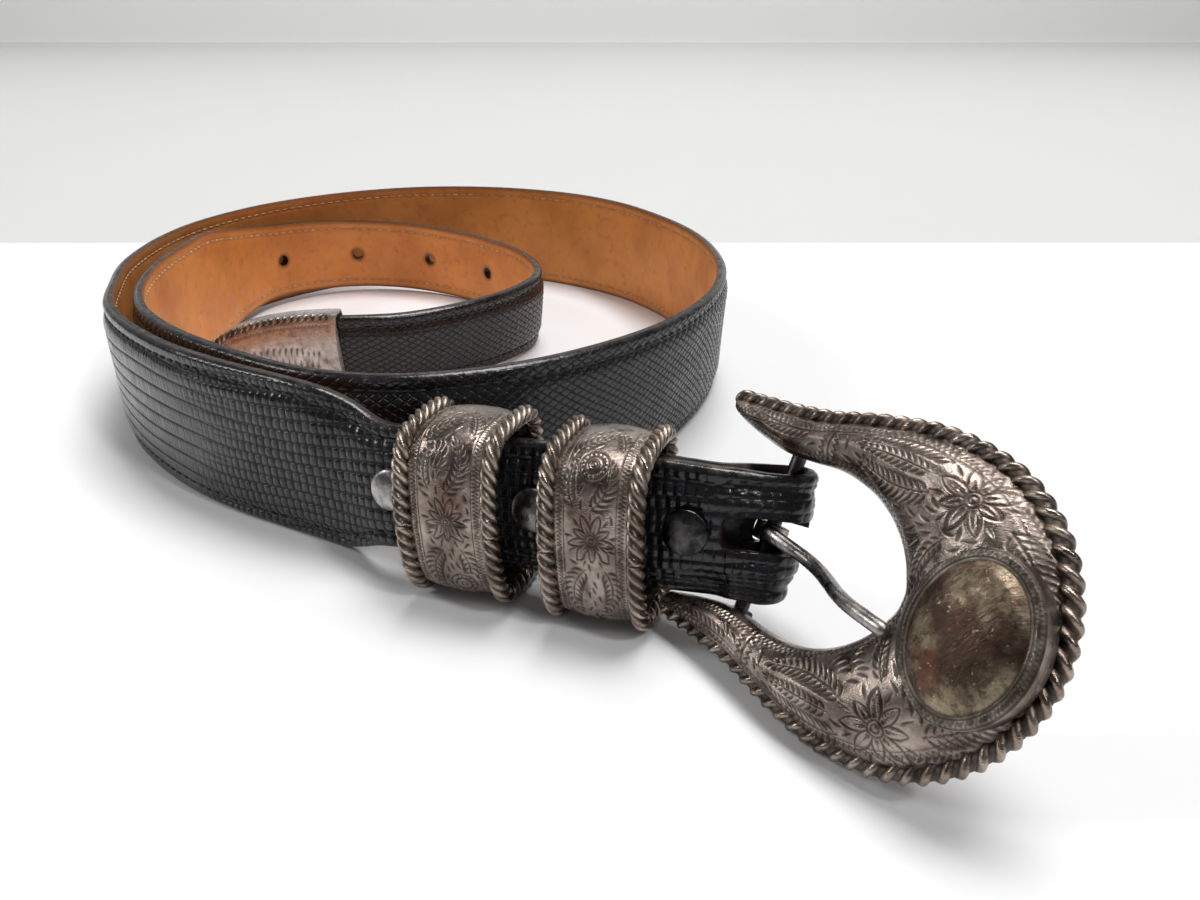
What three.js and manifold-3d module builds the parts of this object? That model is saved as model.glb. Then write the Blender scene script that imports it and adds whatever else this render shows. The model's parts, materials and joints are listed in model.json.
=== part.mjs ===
// Western belt of black lizard leather lined with tan leather, lying coiled on its edge.
// Millimetres, +Z up. X runs right and Y runs away from the viewer, the buckle lies at the front right.
import * as THREE from 'three';
import Module from 'manifold-3d';

const wasm = await Module();
wasm.setup();

// Leather sizes
const FACE_EDGE = 1.1;
const FACE_MID = 1.9;
const PLY_GAP = 0.3;
const LINING = 1.0;
const STATION = 8.2;

// Straight stretch beside the buckle
const STRETCH_START = new THREE.Vector3(-33.9, 139.4, 16.3);
const STRETCH_DIR = new THREE.Vector3(0.944, -0.321, 0.031).normalize();
const STRETCH_TILT = [0.02, 0.235];
const FOLD_TILT = [0.29, 0.43];
const STRETCH_WIDTH = 22;
const FOLD_WIDTH = 20.4;
const BAR_ALONG = 62.6;
const FOLD_RADIUS = 3.2;
const FOLD_PAST_BAR = 0.9;
const FLAP_BEHIND = 3.2;

// Fittings
const RIVET_ALONG = [-1.0, 25.2, 50.4];
const RIVET_HEAD = 3.7;
const RIVET_SHANK = 1.5;
const HOLE_RADIUS = 1.8;
const HOLE_PITCH = 26.6;
const HOLE_COUNT = 4;
const HOLE_FROM_TIP = 135.5;
const SLOT_HEIGHT = 5.8;
const SLOT_BEFORE_BAR = 6.4;

// Keepers
const KEEPER_ALONG = [13.4, 37.6];
const KEEPER_LENGTH = [15.4, 14.4];
const KEEPER_TILT = [0, 0.02];
const WINDOW_HALF = 12.9;
const WINDOW_FRONT = 6.8;
const WINDOW_BACK = 8.3;
const KEEPER_FLOOR = 16.2;
const KEEPER_WALL = 1.2;
const KEEPER_DOME = 1.1;
const KEEPER_CROWN = 1.5;
const KEEPER_ROPE = 1.45;

// Buckle
const BAR_TILT = 14;
const BAR_LEAN = 1.5;
const SWING = 30.3;
const BAR_RADIUS = 1.15;
const BAR_BEHIND = 3.4;
const BAR_DEPTH = -3.8;
const LUG_INNER = 12.7;
const BODY_SKEW = 1.6;
const TAIL_END = 0.5;
const ROPE_RADIUS = 1.55;
const BACK_LEVEL = -1.4;
const PLAQUE_CENTRE = 38.2;
const PLAQUE_HALF = [7.4, 9.8];
const PRONG_RADIUS = 1.05;
const PRONG_LOOP = [1.55, 2.65, 1.5];

// Tip
const TIP_LENGTH = 32;
const TIP_CLEAR = 0.35;

const v3 = (x, y, z) => new THREE.Vector3(x, y, z);
const mix = (a, b, t) => a + (b - a) * t;

// One closed solid from a list of rings with equal point counts; the sides in turned split along the other diagonal.
function loft(rings, closed = false, turned = []) {
  const n = rings[0].length;
  const points = rings.flat();
  const tris = [];
  const spans = closed ? rings.length : rings.length - 1;
  for (let i = 0; i < spans; i++) {
    const a = i * n;
    const b = ((i + 1) % rings.length) * n;
    for (let j = 0; j < n; j++) {
      const k = (j + 1) % n;
      if (turned.includes(j)) tris.push([a + j, a + k, b + j], [a + k, b + k, b + j]);
      else tris.push([a + j, a + k, b + k], [a + j, b + k, b + j]);
    }
  }
  if (!closed) {
    for (const [start, flip] of [[0, true], [(rings.length - 1) * n, false]]) {
      const centre = v3(0, 0, 0);
      for (let j = 0; j < n; j++) centre.addScaledVector(points[start + j], 1 / n);
      const c = points.push(centre) - 1;
      for (let j = 0; j < n; j++) {
        const k = (j + 1) % n;
        tris.push(flip ? [c, start + k, start + j] : [c, start + j, start + k]);
      }
    }
  }
  let volume = 0;
  for (const [a, b, c] of tris) {
    volume += points[a].dot(points[b].clone().cross(points[c]));
  }
  const order = volume < 0 ? tris.map(([a, b, c]) => [a, c, b]) : tris;
  return new wasm.Manifold(new wasm.Mesh({
    numProp: 3,
    vertProperties: new Float32Array(points.flatMap((p) => [p.x, p.y, p.z])),
    triVerts: new Uint32Array(order.flat()),
  }));
}

// Round or flattened tube along a list of points, with the section's second axis given.
function tube(points, radius, sides, axis, closed = false, flat = () => [1, 1]) {
  const rings = points.map((p, i) => {
    const before = points[closed ? (i + points.length - 1) % points.length : Math.max(i - 1, 0)];
    const after = points[closed ? (i + 1) % points.length : Math.min(i + 1, points.length - 1)];
    const along = after.clone().sub(before).normalize();
    const side = axis.clone().addScaledVector(along, -axis.dot(along)).normalize();
    const up = along.clone().cross(side);
    const [fu, fs] = flat(i / (points.length - 1));
    return Array.from({ length: sides }, (_, j) => {
      const angle = (2 * Math.PI * j) / sides;
      return p.clone()
        .addScaledVector(up, radius * fu * Math.cos(angle))
        .addScaledVector(side, radius * fs * Math.sin(angle));
    });
  });
  return loft(rings, closed);
}

// A frame has an origin and three axes; place turns local numbers into a point.
const place = (frame, a, b, c) => frame.origin.clone()
  .addScaledVector(frame.along, a)
  .addScaledVector(frame.up, b)
  .addScaledVector(frame.out, c);

// Route of the leather on the face-lining boundary at half height, from the wide front to the tip.
// Columns: x, y, z, tilt in x, tilt in y, width
const ROUTE = [
  [-44.8, 145.6, 15.6, 0.01, 0.1, 28.6],
  [-52.9, 149.6, 16, 0, 0, 31.6],
  [-71.0, 159.6, 16, 0, 0, 32],
  [-85.4, 169.8, 16, 0, 0, 32],
  [-98.8, 183.0, 16, 0, 0, 32],
  [-108.6, 196.6, 16, 0, 0, 32],
  [-115.0, 212.3, 16, 0, 0, 32],
  [-120.9, 231.0, 16, 0, 0, 32],
  [-123.4, 252.0, 16, 0, 0, 32],
  [-122.4, 271.0, 16, 0, 0, 32],
  [-117.3, 288.2, 16, 0, 0, 32],
  [-108.6, 304.2, 16, 0, 0, 32],
  [-96.2, 317.6, 16, 0, 0, 32],
  [-81.0, 328.0, 16, 0, 0, 32],
  [-64.0, 334.0, 16, 0, 0, 32],
  [-45.5, 334.9, 16, 0, 0, 32],
  [-26.6, 330.6, 16, 0, 0, 32],
  [-8.0, 320.6, 16, 0.01, 0.01, 32],
  [7.6, 305.8, 16, -0.02, -0.01, 32],
  [19.0, 287.4, 16, -0.05, -0.02, 32],
  [26.8, 268.0, 16, -0.05, -0.01, 32],
  [30.6, 247.0, 16, -0.03, 0, 32],
  [29.4, 225.0, 16, 0.06, -0.02, 32],
  [23.2, 203.4, 16, 0.12, -0.06, 32],
  [12.6, 184.2, 16, 0.1, -0.1, 32],
  [-1.6, 168.2, 16, 0.05, -0.07, 32],
  [-18.0, 157.0, 16, 0.01, -0.03, 32],
  [-36.5, 151.9, 16, 0, 0, 32],
  [-54.5, 155.6, 16, 0, 0, 32],
  [-72.6, 166.6, 16, 0, 0, 32],
  [-87.4, 178.6, 16, 0, 0, 32],
  [-99.6, 193.0, 16, 0, 0, 32],
  [-107.6, 209.6, 16, 0, 0, 32],
  [-112.2, 228.6, 16, 0, 0, 32],
  [-113.6, 248.0, 16, 0, 0, 32],
  [-113.2, 264.0, 16, 0, 0, 31.6],
  [-111.6, 280.0, 15.6, 0.05, 0, 27.5],
  [-106.6, 296.4, 14.9, 0.08, -0.06, 24.2],
  [-95.6, 308.6, 14.0, 0.04, -0.08, 23.4],
  [-80.4, 314.4, 13.2, 0, -0.08, 23],
  [-64.0, 312.6, 12.6, 0, -0.06, 22.8],
  [-48.4, 305.2, 12.0, -0.02, -0.04, 22.6],
  [-34.0, 293.0, 11.7, -0.03, -0.02, 22.6],
  [-22.8, 276.6, 11.5, 0, 0, 22.6],
  [-18.6, 258.6, 11.4, 0.1, -0.1, 22.4],
  [-23.8, 243.4, 11.4, 0.12, -0.18, 22],
  [-35.0, 230.2, 11.6, 0.08, -0.22, 21.4],
  [-48.8, 220.6, 11.8, 0.03, -0.2, 20.8],
];
const TIP_DIR = new THREE.Vector3(-0.995, 0.08, 0).normalize();
const TIP_TILT = [0, -0.17];
const TIP_MOUTH = new THREE.Vector3(-64.2, 216.0, 12.5);

// Rows of the folded end in the stretch's own directions.
// Columns: along, behind, drop, share of the fold's tilt, width
function foldRows() {
  const rows = [];
  const start = BAR_ALONG + FOLD_PAST_BAR;
  for (const [along, behind, drop, share, width] of [
    [15.5, 0, 1.8, 0, 20.4], [20, 0, 1.7, 0, 21], [28, 0, 0.8, 0, 21.2], [36, 0, 0.2, 0, 21.2],
    [44, 0, 0, 0, 21.2], [50, 0, 0, 0, 20.8], [55.3, 0.4, 0, 0, 20.5], [59.6, 2, 0, 0.8, 20.4],
  ]) rows.push([along, FLAP_BEHIND + behind, drop, share, width]);
  for (let i = 0; i <= 8; i++) {
    const angle = Math.PI * (0.5 - i / 8);
    const behind = FOLD_RADIUS * (1 + Math.sin(angle));
    rows.push([start + FOLD_RADIUS * Math.cos(angle), behind, 0, 1, FOLD_WIDTH]);
  }
  for (const [along, share, width] of [[59.6, 0.85, 20.2], [55.3, 0, 20.6], [50, 0, 21], [44, 0, 21.5]]) {
    rows.push([along, 0, 0, share, width]);
  }
  for (let along = 36; along >= -4; along -= 8) rows.push([along, 0, 0, 0, along < 0 ? 22.4 : STRETCH_WIDTH]);
  return rows;
}

function stretchFrame(tilt) {
  const rise = v3(tilt[0], tilt[1], 1);
  const up = rise.addScaledVector(STRETCH_DIR, -rise.dot(STRETCH_DIR)).normalize();
  const out = up.clone().cross(STRETCH_DIR).normalize();
  return { origin: STRETCH_START.clone(), along: STRETCH_DIR.clone(), up, out: out.y < 0 ? out : out.negate() };
}
const stretch = stretchFrame(STRETCH_TILT);

function allRows() {
  const rows = foldRows().map(([along, behind, drop, share, width]) => {
    const p = place(stretch, along, -drop, -behind);
    return [p.x, p.y, p.z, mix(STRETCH_TILT[0], FOLD_TILT[0], share), mix(STRETCH_TILT[1], FOLD_TILT[1], share), width];
  });
  rows.push(...ROUTE);
  for (const [along, width] of [[0, 20.4], [9, 19.4], [18, 15.2], [24, 9.4], [27.6, 4]]) {
    const p = TIP_MOUTH.clone().addScaledVector(TIP_DIR, along);
    rows.push([p.x, p.y, p.z, ...TIP_TILT, width]);
  }
  return rows;
}

// Cubic through the rows; every column is carried the same way.
function cubic(rows, i, t) {
  const r = (k) => rows[Math.min(Math.max(k, 0), rows.length - 1)];
  return rows[0].map((_, c) => {
    const [p, q, u, w] = [r(i - 1)[c], r(i)[c], r(i + 1)[c], r(i + 2)[c]];
    return q + 0.5 * t * (u - p + t * (2 * p - 5 * q + 4 * u - w + t * (3 * (q - u) + w - p)));
  });
}

function stations() {
  const rows = allRows();
  const list = [];
  for (let i = 0; i < rows.length - 1; i++) {
    const length = Math.hypot(...[0, 1, 2].map((c) => rows[i + 1][c] - rows[i][c]));
    const steps = Math.max(1, Math.round(length / STATION));
    for (let k = 0; k < steps; k++) list.push(cubic(rows, i, k / steps));
  }
  list.push(rows[rows.length - 1]);
  const points = list.map((r) => v3(r[0], r[1], r[2]));
  let run = 0;
  return list.map((r, i) => {
    if (i > 0) run += points[i].distanceTo(points[i - 1]);
    const along = points[Math.min(i + 1, list.length - 1)].clone().sub(points[Math.max(i - 1, 0)]).normalize();
    const rise = v3(r[3], r[4], 1);
    const up = rise.normalize();
    const out = up.clone().cross(along).normalize();
    return { origin: points[i], along, up, out, width: r[5], run };
  });
}
const strap = stations();
const strapLength = strap[strap.length - 1].run;

// Position and directions at a distance along the leather.
function at(run) {
  let i = 1;
  while (i < strap.length - 1 && strap[i].run < run) i++;
  const [a, b] = [strap[i - 1], strap[i]];
  const t = (run - a.run) / (b.run - a.run);
  return {
    origin: a.origin.clone().lerp(b.origin, t),
    along: a.along.clone().lerp(b.along, t).normalize(),
    up: a.up.clone().lerp(b.up, t).normalize(),
    out: a.out.clone().lerp(b.out, t).normalize(),
  };
}

// Face leather: soft domed outside; the folded flap and the tongue in the tip are skived thinner.
const skive = (s) => (s.run < 58 ? 0.72 : s.run > strapLength - 34 ? 0.75 : 1);
function faceRing(s) {
  const h = s.width / 2;
  const k = skive(s);
  return [
    [-h, 0], [-h, FACE_EDGE * k], [-h * 0.62, FACE_MID * k],
    [h * 0.62, FACE_MID * k], [h, FACE_EDGE * k], [h, 0],
  ].map(([b, c]) => place(s, 0, b, c));
}
function liningRing(s) {
  const h = s.width / 2;
  return [[h, -PLY_GAP], [-h, -PLY_GAP], [-h, -PLY_GAP - LINING], [h, -PLY_GAP - LINING]]
    .map(([b, c]) => place(s, 0, b, c));
}

function cylinder(frame, radius, from, to, sides = 12) {
  return loft([from, to].map((c) => Array.from({ length: sides }, (_, j) => {
    const angle = (2 * Math.PI * j) / sides;
    return place(frame, radius * Math.cos(angle), radius * Math.sin(angle), c);
  })));
}
function block(frame, [a0, a1], [b0, b1], [c0, c1]) {
  return loft([a0, a1].map((a) => [[b0, c0], [b1, c0], [b1, c1], [b0, c1]].map(([b, c]) => place(frame, a, b, c))));
}

function leather() {
  const holes = [];
  for (let i = 0; i < HOLE_COUNT; i++) {
    holes.push(cylinder(at(strapLength - HOLE_FROM_TIP - i * HOLE_PITCH), HOLE_RADIUS, -3, 4));
  }
  for (const along of RIVET_ALONG) {
    const frame = { ...stretch, origin: place(stretch, along, 0, 0) };
    holes.push(cylinder(frame, RIVET_SHANK + 0.3, -10, 4));
  }
  const slot = { ...stretch, origin: place(stretch, BAR_ALONG, 0, 0) };
  const half = SLOT_HEIGHT / 2;
  holes.push(block(slot, [-SLOT_BEFORE_BAR, 12], [-half, half], [-13, 5]));
  const cut = (solid) => holes.reduce((body, hole) => body.subtract(hole), solid);
  return { face: cut(loft(strap.map(faceRing), false, [5])), lining: cut(loft(strap.map(liningRing), false, [0])) };
}

// Rivet turned about its own axis: domed head in front, washer behind.
function rivet(along, back, lift, dome) {
  const frame = { ...stretch, origin: place(stretch, along, 0, 0) };
  const front = FACE_MID + lift;
  const profile = [
    [0, back - 1], [2.9, back - 0.9], [3.1, back - 0.3], [RIVET_SHANK, back - 0.3], [RIVET_SHANK, front],
    [RIVET_HEAD, front], [RIVET_HEAD, front + 0.35], [RIVET_HEAD * 0.75, front + dome * 0.75],
    [RIVET_HEAD * 0.4, front + dome], [0, front + dome],
  ];
  const sides = 12;
  const rings = Array.from({ length: sides }, (_, j) => {
    const angle = (2 * Math.PI * j) / sides;
    return profile.map(([r, c]) => place(frame, r * Math.cos(angle), r * Math.sin(angle), c));
  });
  return revolve(rings);
}

// Closed body of revolution whose first and last profile points lie on the axis.
function revolve(rings) {
  const n = rings[0].length;
  const points = [rings[0][0], rings[0][n - 1]];
  const index = rings.map((ring) => ring.map((p, j) => (j === 0 ? 0 : j === n - 1 ? 1 : points.push(p) - 1)));
  const tris = [];
  index.forEach((ring, i) => {
    const next = index[(i + 1) % index.length];
    for (let j = 0; j < n - 1; j++) {
      if (j > 0) tris.push([ring[j], next[j], next[j + 1]]);
      if (j < n - 2) tris.push([ring[j], next[j + 1], ring[j + 1]]);
    }
  });
  let volume = 0;
  for (const [a, b, c] of tris) volume += points[a].dot(points[b].clone().cross(points[c]));
  const order = volume < 0 ? tris.map(([a, b, c]) => [a, c, b]) : tris;
  return new wasm.Manifold(new wasm.Mesh({
    numProp: 3,
    vertProperties: new Float32Array(points.flatMap((p) => [p.x, p.y, p.z])),
    triVerts: new Uint32Array(order.flat()),
  }));
}

// Outline of a keeper across the strap: crowned front, round ends, flat back. Returns [up, out] pairs.
function keeperLoop(grow, count = 24) {
  const depth = (WINDOW_FRONT + WINDOW_BACK) / 2;
  const mid = (WINDOW_FRONT - WINDOW_BACK) / 2;
  return Array.from({ length: count }, (_, j) => {
    const angle = (2 * Math.PI * (j + 0.5)) / count;
    const c = Math.cos(angle);
    const s = Math.sin(angle);
    const b = Math.sign(c) * Math.abs(c) ** 0.42 * (WINDOW_HALF + grow);
    const front = s > 0 ? KEEPER_CROWN * (1 - (b / (WINDOW_HALF + grow)) ** 2) : 0;
    return [b, mid + Math.sign(s) * Math.abs(s) ** 0.42 * (depth + grow) + front];
  });
}

function keeper(along, length) {
  const frame = stretchFrame(KEEPER_TILT);
  frame.origin = place(stretch, along, 0, 0);
  frame.origin.z = KEEPER_FLOOR;
  const half = length / 2;
  const inner = keeperLoop(0);
  const outer = keeperLoop(1);
  const ropeLevel = KEEPER_WALL * 0.5 + KEEPER_ROPE * 0.75;
  const rope = [-75, -20, 30, 80, 130, 175].map((degrees) => {
    const angle = THREE.MathUtils.degToRad(degrees);
    return [KEEPER_ROPE * Math.cos(angle), ropeLevel + KEEPER_ROPE * Math.sin(angle)];
  });
  const band = [0.5, 0, -0.5].map((t) => [t * half, KEEPER_WALL + KEEPER_DOME * (1 - t * t)]);
  const profile = [
    [-half, 0], [half, 0], ...rope.map(([a, lift]) => [half + a, lift]),
    ...band, ...rope.reverse().map(([a, lift]) => [-half - a, lift]),
  ];
  return loft(inner.map(([ib, ic], j) => {
    const [ob, oc] = outer[j];
    const size = Math.hypot(ob - ib, oc - ic);
    return profile.map(([a, lift]) => place(
      frame, a, ib + ((ob - ib) / size) * lift, ic + ((oc - ic) / size) * lift,
    ));
  }), true);
}

// Buckle frame: bar direction first, then the swing about it.
function buckleFrame() {
  const fold = stretchFrame(FOLD_TILT);
  const rad = THREE.MathUtils.degToRad;
  const bar = fold.up.clone().multiplyScalar(Math.cos(rad(BAR_TILT)))
    .addScaledVector(fold.along, Math.sin(rad(BAR_TILT)));
  bar.multiplyScalar(Math.cos(rad(BAR_LEAN))).addScaledVector(fold.out, -Math.sin(rad(BAR_LEAN))).normalize();
  const straight = fold.along.clone().addScaledVector(bar, -bar.dot(fold.along)).normalize();
  const front = bar.clone().cross(straight).normalize();
  if (front.y > 0) front.negate();
  const along = straight.clone().multiplyScalar(Math.cos(rad(SWING))).addScaledVector(front, Math.sin(rad(SWING)));
  const out = along.clone().cross(bar).normalize();
  if (out.y > 0) out.negate();
  const centre = place(stretch, BAR_ALONG, 0, -BAR_BEHIND);
  return { origin: centre.addScaledVector(out, -BAR_DEPTH), along, up: bar, out };
}
const buckle = buckleFrame();

// Half outline of the buckle. Columns: outer along, outer up, inner along, inner up, dome height
const BUCKLE_HALF = [
  [-12.8, 18.8, -12.3, 16.4, 0.6],
  [-12.0, 19.5, -11.2, 15.5, 2.0],
  [-8.6, 19.7, -8.2, 14.4, 3.0],
  [-4.0, 19.9, -4.0, 13.3, 3.4],
  [1.0, 20.3, 0.4, 12.5, 3.6],
  [6.0, 20.9, 4.6, 12.6, 3.9],
  [11.0, 22.0, 8.6, 12.9, 4.3],
  [16.5, 23.0, 12.6, 12.7, 4.8],
  [23.0, 23.6, 16.6, 11.7, 5.3],
  [29.4, 23.0, 20.0, 10.0, 5.6],
  [35.4, 21.2, 22.8, 7.7, 5.7],
  [40.4, 18.0, 24.8, 5.2, 5.7],
  [44.6, 13.4, 26.0, 2.9, 5.7],
  [47.6, 7.2, 26.6, 1.4, 5.7],
];
const mirrored = BUCKLE_HALF.map(([a, b, c, d, e]) => [a, -b, c, -d, e]).reverse();
const BUCKLE_ROWS = [...BUCKLE_HALF, [48.8, 0, 26.7, 0, 5.7], ...mirrored];

const body = (() => {
  const angle = THREE.MathUtils.degToRad(BODY_SKEW);
  const along = buckle.along.clone().multiplyScalar(Math.cos(angle)).addScaledVector(buckle.up, -Math.sin(angle));
  const up = buckle.up.clone().multiplyScalar(Math.cos(angle)).addScaledVector(buckle.along, Math.sin(angle));
  return { origin: buckle.origin, along, up, out: buckle.out };
})();

function buckleBody() {
  const last = BUCKLE_ROWS.length - 1;
  const rings = [];
  for (let i = 0; i < last - 1; i++) {
    const steps = i < 4 || i > last - 5 ? [0] : [0, 0.5];
    for (const t of steps) rings.push(cubic(BUCKLE_ROWS, i, t));
  }
  rings.push(cubic(BUCKLE_ROWS, last - 2, TAIL_END));
  const section = [
    [0, BACK_LEVEL, 0], [0, 0.4, 0.1], [0.06, 0.6, 0.42], [0.24, 0.6, 0.84], [0.46, 0.6, 1],
    [0.68, 0.6, 0.86], [0.86, 0.4, 0.46], [1, 0, 0], [1, BACK_LEVEL, 0],
  ];
  const inset = ROPE_RADIUS;
  let solid = loft(rings.map(([oa, ob, ia, ib, height]) => section.map(([t, base, lift]) => {
    const reach = Math.hypot(oa - ia, ob - ib);
    const f = t * (1 - inset / Math.max(reach, inset * 2));
    return place(body, mix(ia, oa, f), mix(ib, ob, f), base + lift * (height - base));
  })));
  const rope = rings.map(([oa, ob, ia, ib]) => {
    const reach = Math.hypot(oa - ia, ob - ib);
    const f = 1 - ROPE_RADIUS / reach;
    return place(body, mix(ia, oa, f), mix(ib, ob, f), 0.15);
  });
  solid = solid.add(tube(rope, ROPE_RADIUS, 8, buckle.out));
  // Oval plaque with a raised ring
  const ovalRing = (grow, level) => Array.from({ length: 28 }, (_, j) => {
    const angle = (2 * Math.PI * j) / 28;
    return place(
      body, PLAQUE_CENTRE + (PLAQUE_HALF[0] + grow) * Math.cos(angle),
      (PLAQUE_HALF[1] + grow) * Math.sin(angle), level,
    );
  });
  const steps = [[1.0, 1.5], [1.0, 5.2], [0.4, 5.9], [-0.5, 5.9], [-0.9, 5.4], [-2.0, 6.6], [-4.0, 7.4], [-6.4, 7.8]];
  solid = solid.add(loft(steps.map(([grow, level]) => ovalRing(grow, level))));
  // Bar on two lugs behind the arms
  for (const side of [-1, 1]) {
    const range = [side * LUG_INNER, side * (LUG_INNER + 3.2)].sort((p, q) => p - q);
    solid = solid.add(block(buckle, [-1.6, 1.6], range, [BAR_DEPTH - 1.5, 0.6]));
  }
  const barLine = [-1, 1].map((side) => place(buckle, 0, side * (LUG_INNER + 1), BAR_DEPTH));
  return solid.add(tube(barLine, BAR_RADIUS, 14, buckle.out));
}

// Prong: flat loop about the bar and a bent pin. Columns: along, up, out
const PRONG_LINE = [
  [-0.4, 0, -1.0], [2.0, -0.1, -0.9], [5.0, -0.5, -1.2], [8.5, -1.1, -1.7], [12.0, -1.9, -1.2],
  [15.5, -2.7, 0.7], [18.5, -3.3, 2.8], [21.5, -3.8, 4.3], [25.0, -4.3, 4.9], [28.6, -4.8, 5.1],
];
function prong() {
  const [inner, outer, half] = PRONG_LOOP;
  const rings = Array.from({ length: 20 }, (_, j) => {
    const angle = (2 * Math.PI * j) / 20;
    return [[inner, -half], [inner, half], [outer, half], [outer, -half]].map(([r, b]) => place(
      buckle, r * Math.cos(angle), b, BAR_DEPTH + r * Math.sin(angle),
    ));
  });
  const line = [];
  for (let i = 0; i < PRONG_LINE.length - 1; i++) {
    for (const t of [0, 0.5]) line.push(cubic(PRONG_LINE, i, t));
  }
  line.push(PRONG_LINE[PRONG_LINE.length - 1]);
  const flat = (t) => {
    const k = Math.min(1, t / 0.3);
    return t > 0.97 ? [0.62, 0.62] : [mix(1.35, 1, k), mix(0.72, 1, k)];
  };
  const pin = tube(line.map(([a, b, c]) => place(buckle, a, b, c)), PRONG_RADIUS, 8, buckle.out, false, flat);
  return loft(rings, true).add(pin);
}

// Tip: hollow pointed cap with a curved mouth and a rope edge on its face.
const tipFrame = (() => {
  const rise = v3(TIP_TILT[0], TIP_TILT[1], 1);
  const up = rise.addScaledVector(TIP_DIR, -rise.dot(TIP_DIR)).normalize();
  return { origin: TIP_MOUTH, along: TIP_DIR, up, out: up.clone().cross(TIP_DIR).normalize() };
})();
const tipHalf = (x, grow) => {
  const t = Math.min(Math.max(x / TIP_LENGTH, 0), 1);
  return (10.4 + grow) * Math.sqrt(Math.max(0, 1 - t ** 2.3)) * (1 - 0.12 * t);
};
function tip() {
  const xs = [-1.2, 1.5, 5, 9, 13, 17, 20.5, 23.5, 26.5, 29, 31, 31.9];
  let body = loft(xs.map((x) => {
    const h = tipHalf(x, 1.35);
    const k = Math.min(1, 0.45 + (0.55 * h) / 6);
    const soft = Math.min(1.2, h * 0.3);
    return [
      [-h, -1.4 * k], [soft - h, -2.8 * k], [h - soft, -2.8 * k], [h, -1.4 * k],
      [h, 1.6 * k], [h - soft, 3.1 * k], [0, 3.6 * k], [soft - h, 3.1 * k], [-h, 1.6 * k],
    ].map(([b, c]) => place(tipFrame, x, b, c));
  }));
  const edge = [];
  for (const side of [-1, 1]) {
    const row = xs.slice(1).map((x) => {
      const h = tipHalf(x, 1.35);
      return place(tipFrame, x, side * (h - 0.5), 2.4 * Math.min(1, 0.45 + (0.55 * h) / 6));
    });
    edge.push(...(side < 0 ? row : row.reverse().slice(1)));
  }
  body = body.add(tube(edge, 0.95, 8, tipFrame.out));
  const hollow = loft([-5, 1, 9, 18, 24, 28.4].map((x) => {
    const h = tipHalf(x, TIP_CLEAR);
    const flare = x < 1 ? 0.8 : 0;
    return [[-h, -1.7 - flare], [h, -1.7 - flare], [h, 2.1], [-h, 2.1]].map(([b, c]) => place(tipFrame, x, b, c));
  }));
  return body.subtract(hollow);
}

const group = new THREE.Group();
// Moves the origin under the middle of the belt.
const SHIFT = [34.6, -208.5, 0];
function addPart(name, solid, color, metalness, roughness) {
  const { vertProperties, triVerts, numProp } = solid.getMesh();
  const position = new Float32Array((vertProperties.length / numProp) * 3);
  for (let i = 0; i < vertProperties.length / numProp; i++) {
    for (let c = 0; c < 3; c++) position[i * 3 + c] = vertProperties[i * numProp + c] + SHIFT[c];
  }
  const geometry = new THREE.BufferGeometry();
  geometry.setAttribute('position', new THREE.BufferAttribute(position, 3));
  geometry.setIndex(Array.from(triVerts));
  geometry.computeVertexNormals();
  const mesh = new THREE.Mesh(geometry, new THREE.MeshStandardMaterial({ color, metalness, roughness }));
  mesh.name = name;
  group.add(mesh);
}

const { face, lining } = leather();
addPart('strap_face', face, '#1c1c20', 0, 0.3);
addPart('strap_lining', lining, '#b8733a', 0, 0.6);
RIVET_ALONG.forEach((along, i) => {
  const back = i === 0 ? -1.45 : -FLAP_BEHIND - 1.4;
  addPart(`rivet_${i + 1}`, rivet(along, back, i === 2 ? 0.5 : 0.3, i === 2 ? 0.9 : 1.3), i === 0 ? '#8a847a' : '#232326', 0.8, 0.4);
});
KEEPER_ALONG.forEach((along, i) => {
  addPart(`keeper_${i + 1}`, keeper(along, KEEPER_LENGTH[i]), '#8c8070', 1, 0.35);
});
addPart('buckle_frame', buckleBody(), '#8c8070', 1, 0.35);
addPart('prong', prong(), '#7c766e', 1, 0.35);
addPart('belt_tip', tip(), '#8c8070', 1, 0.35);

export default group;
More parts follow.
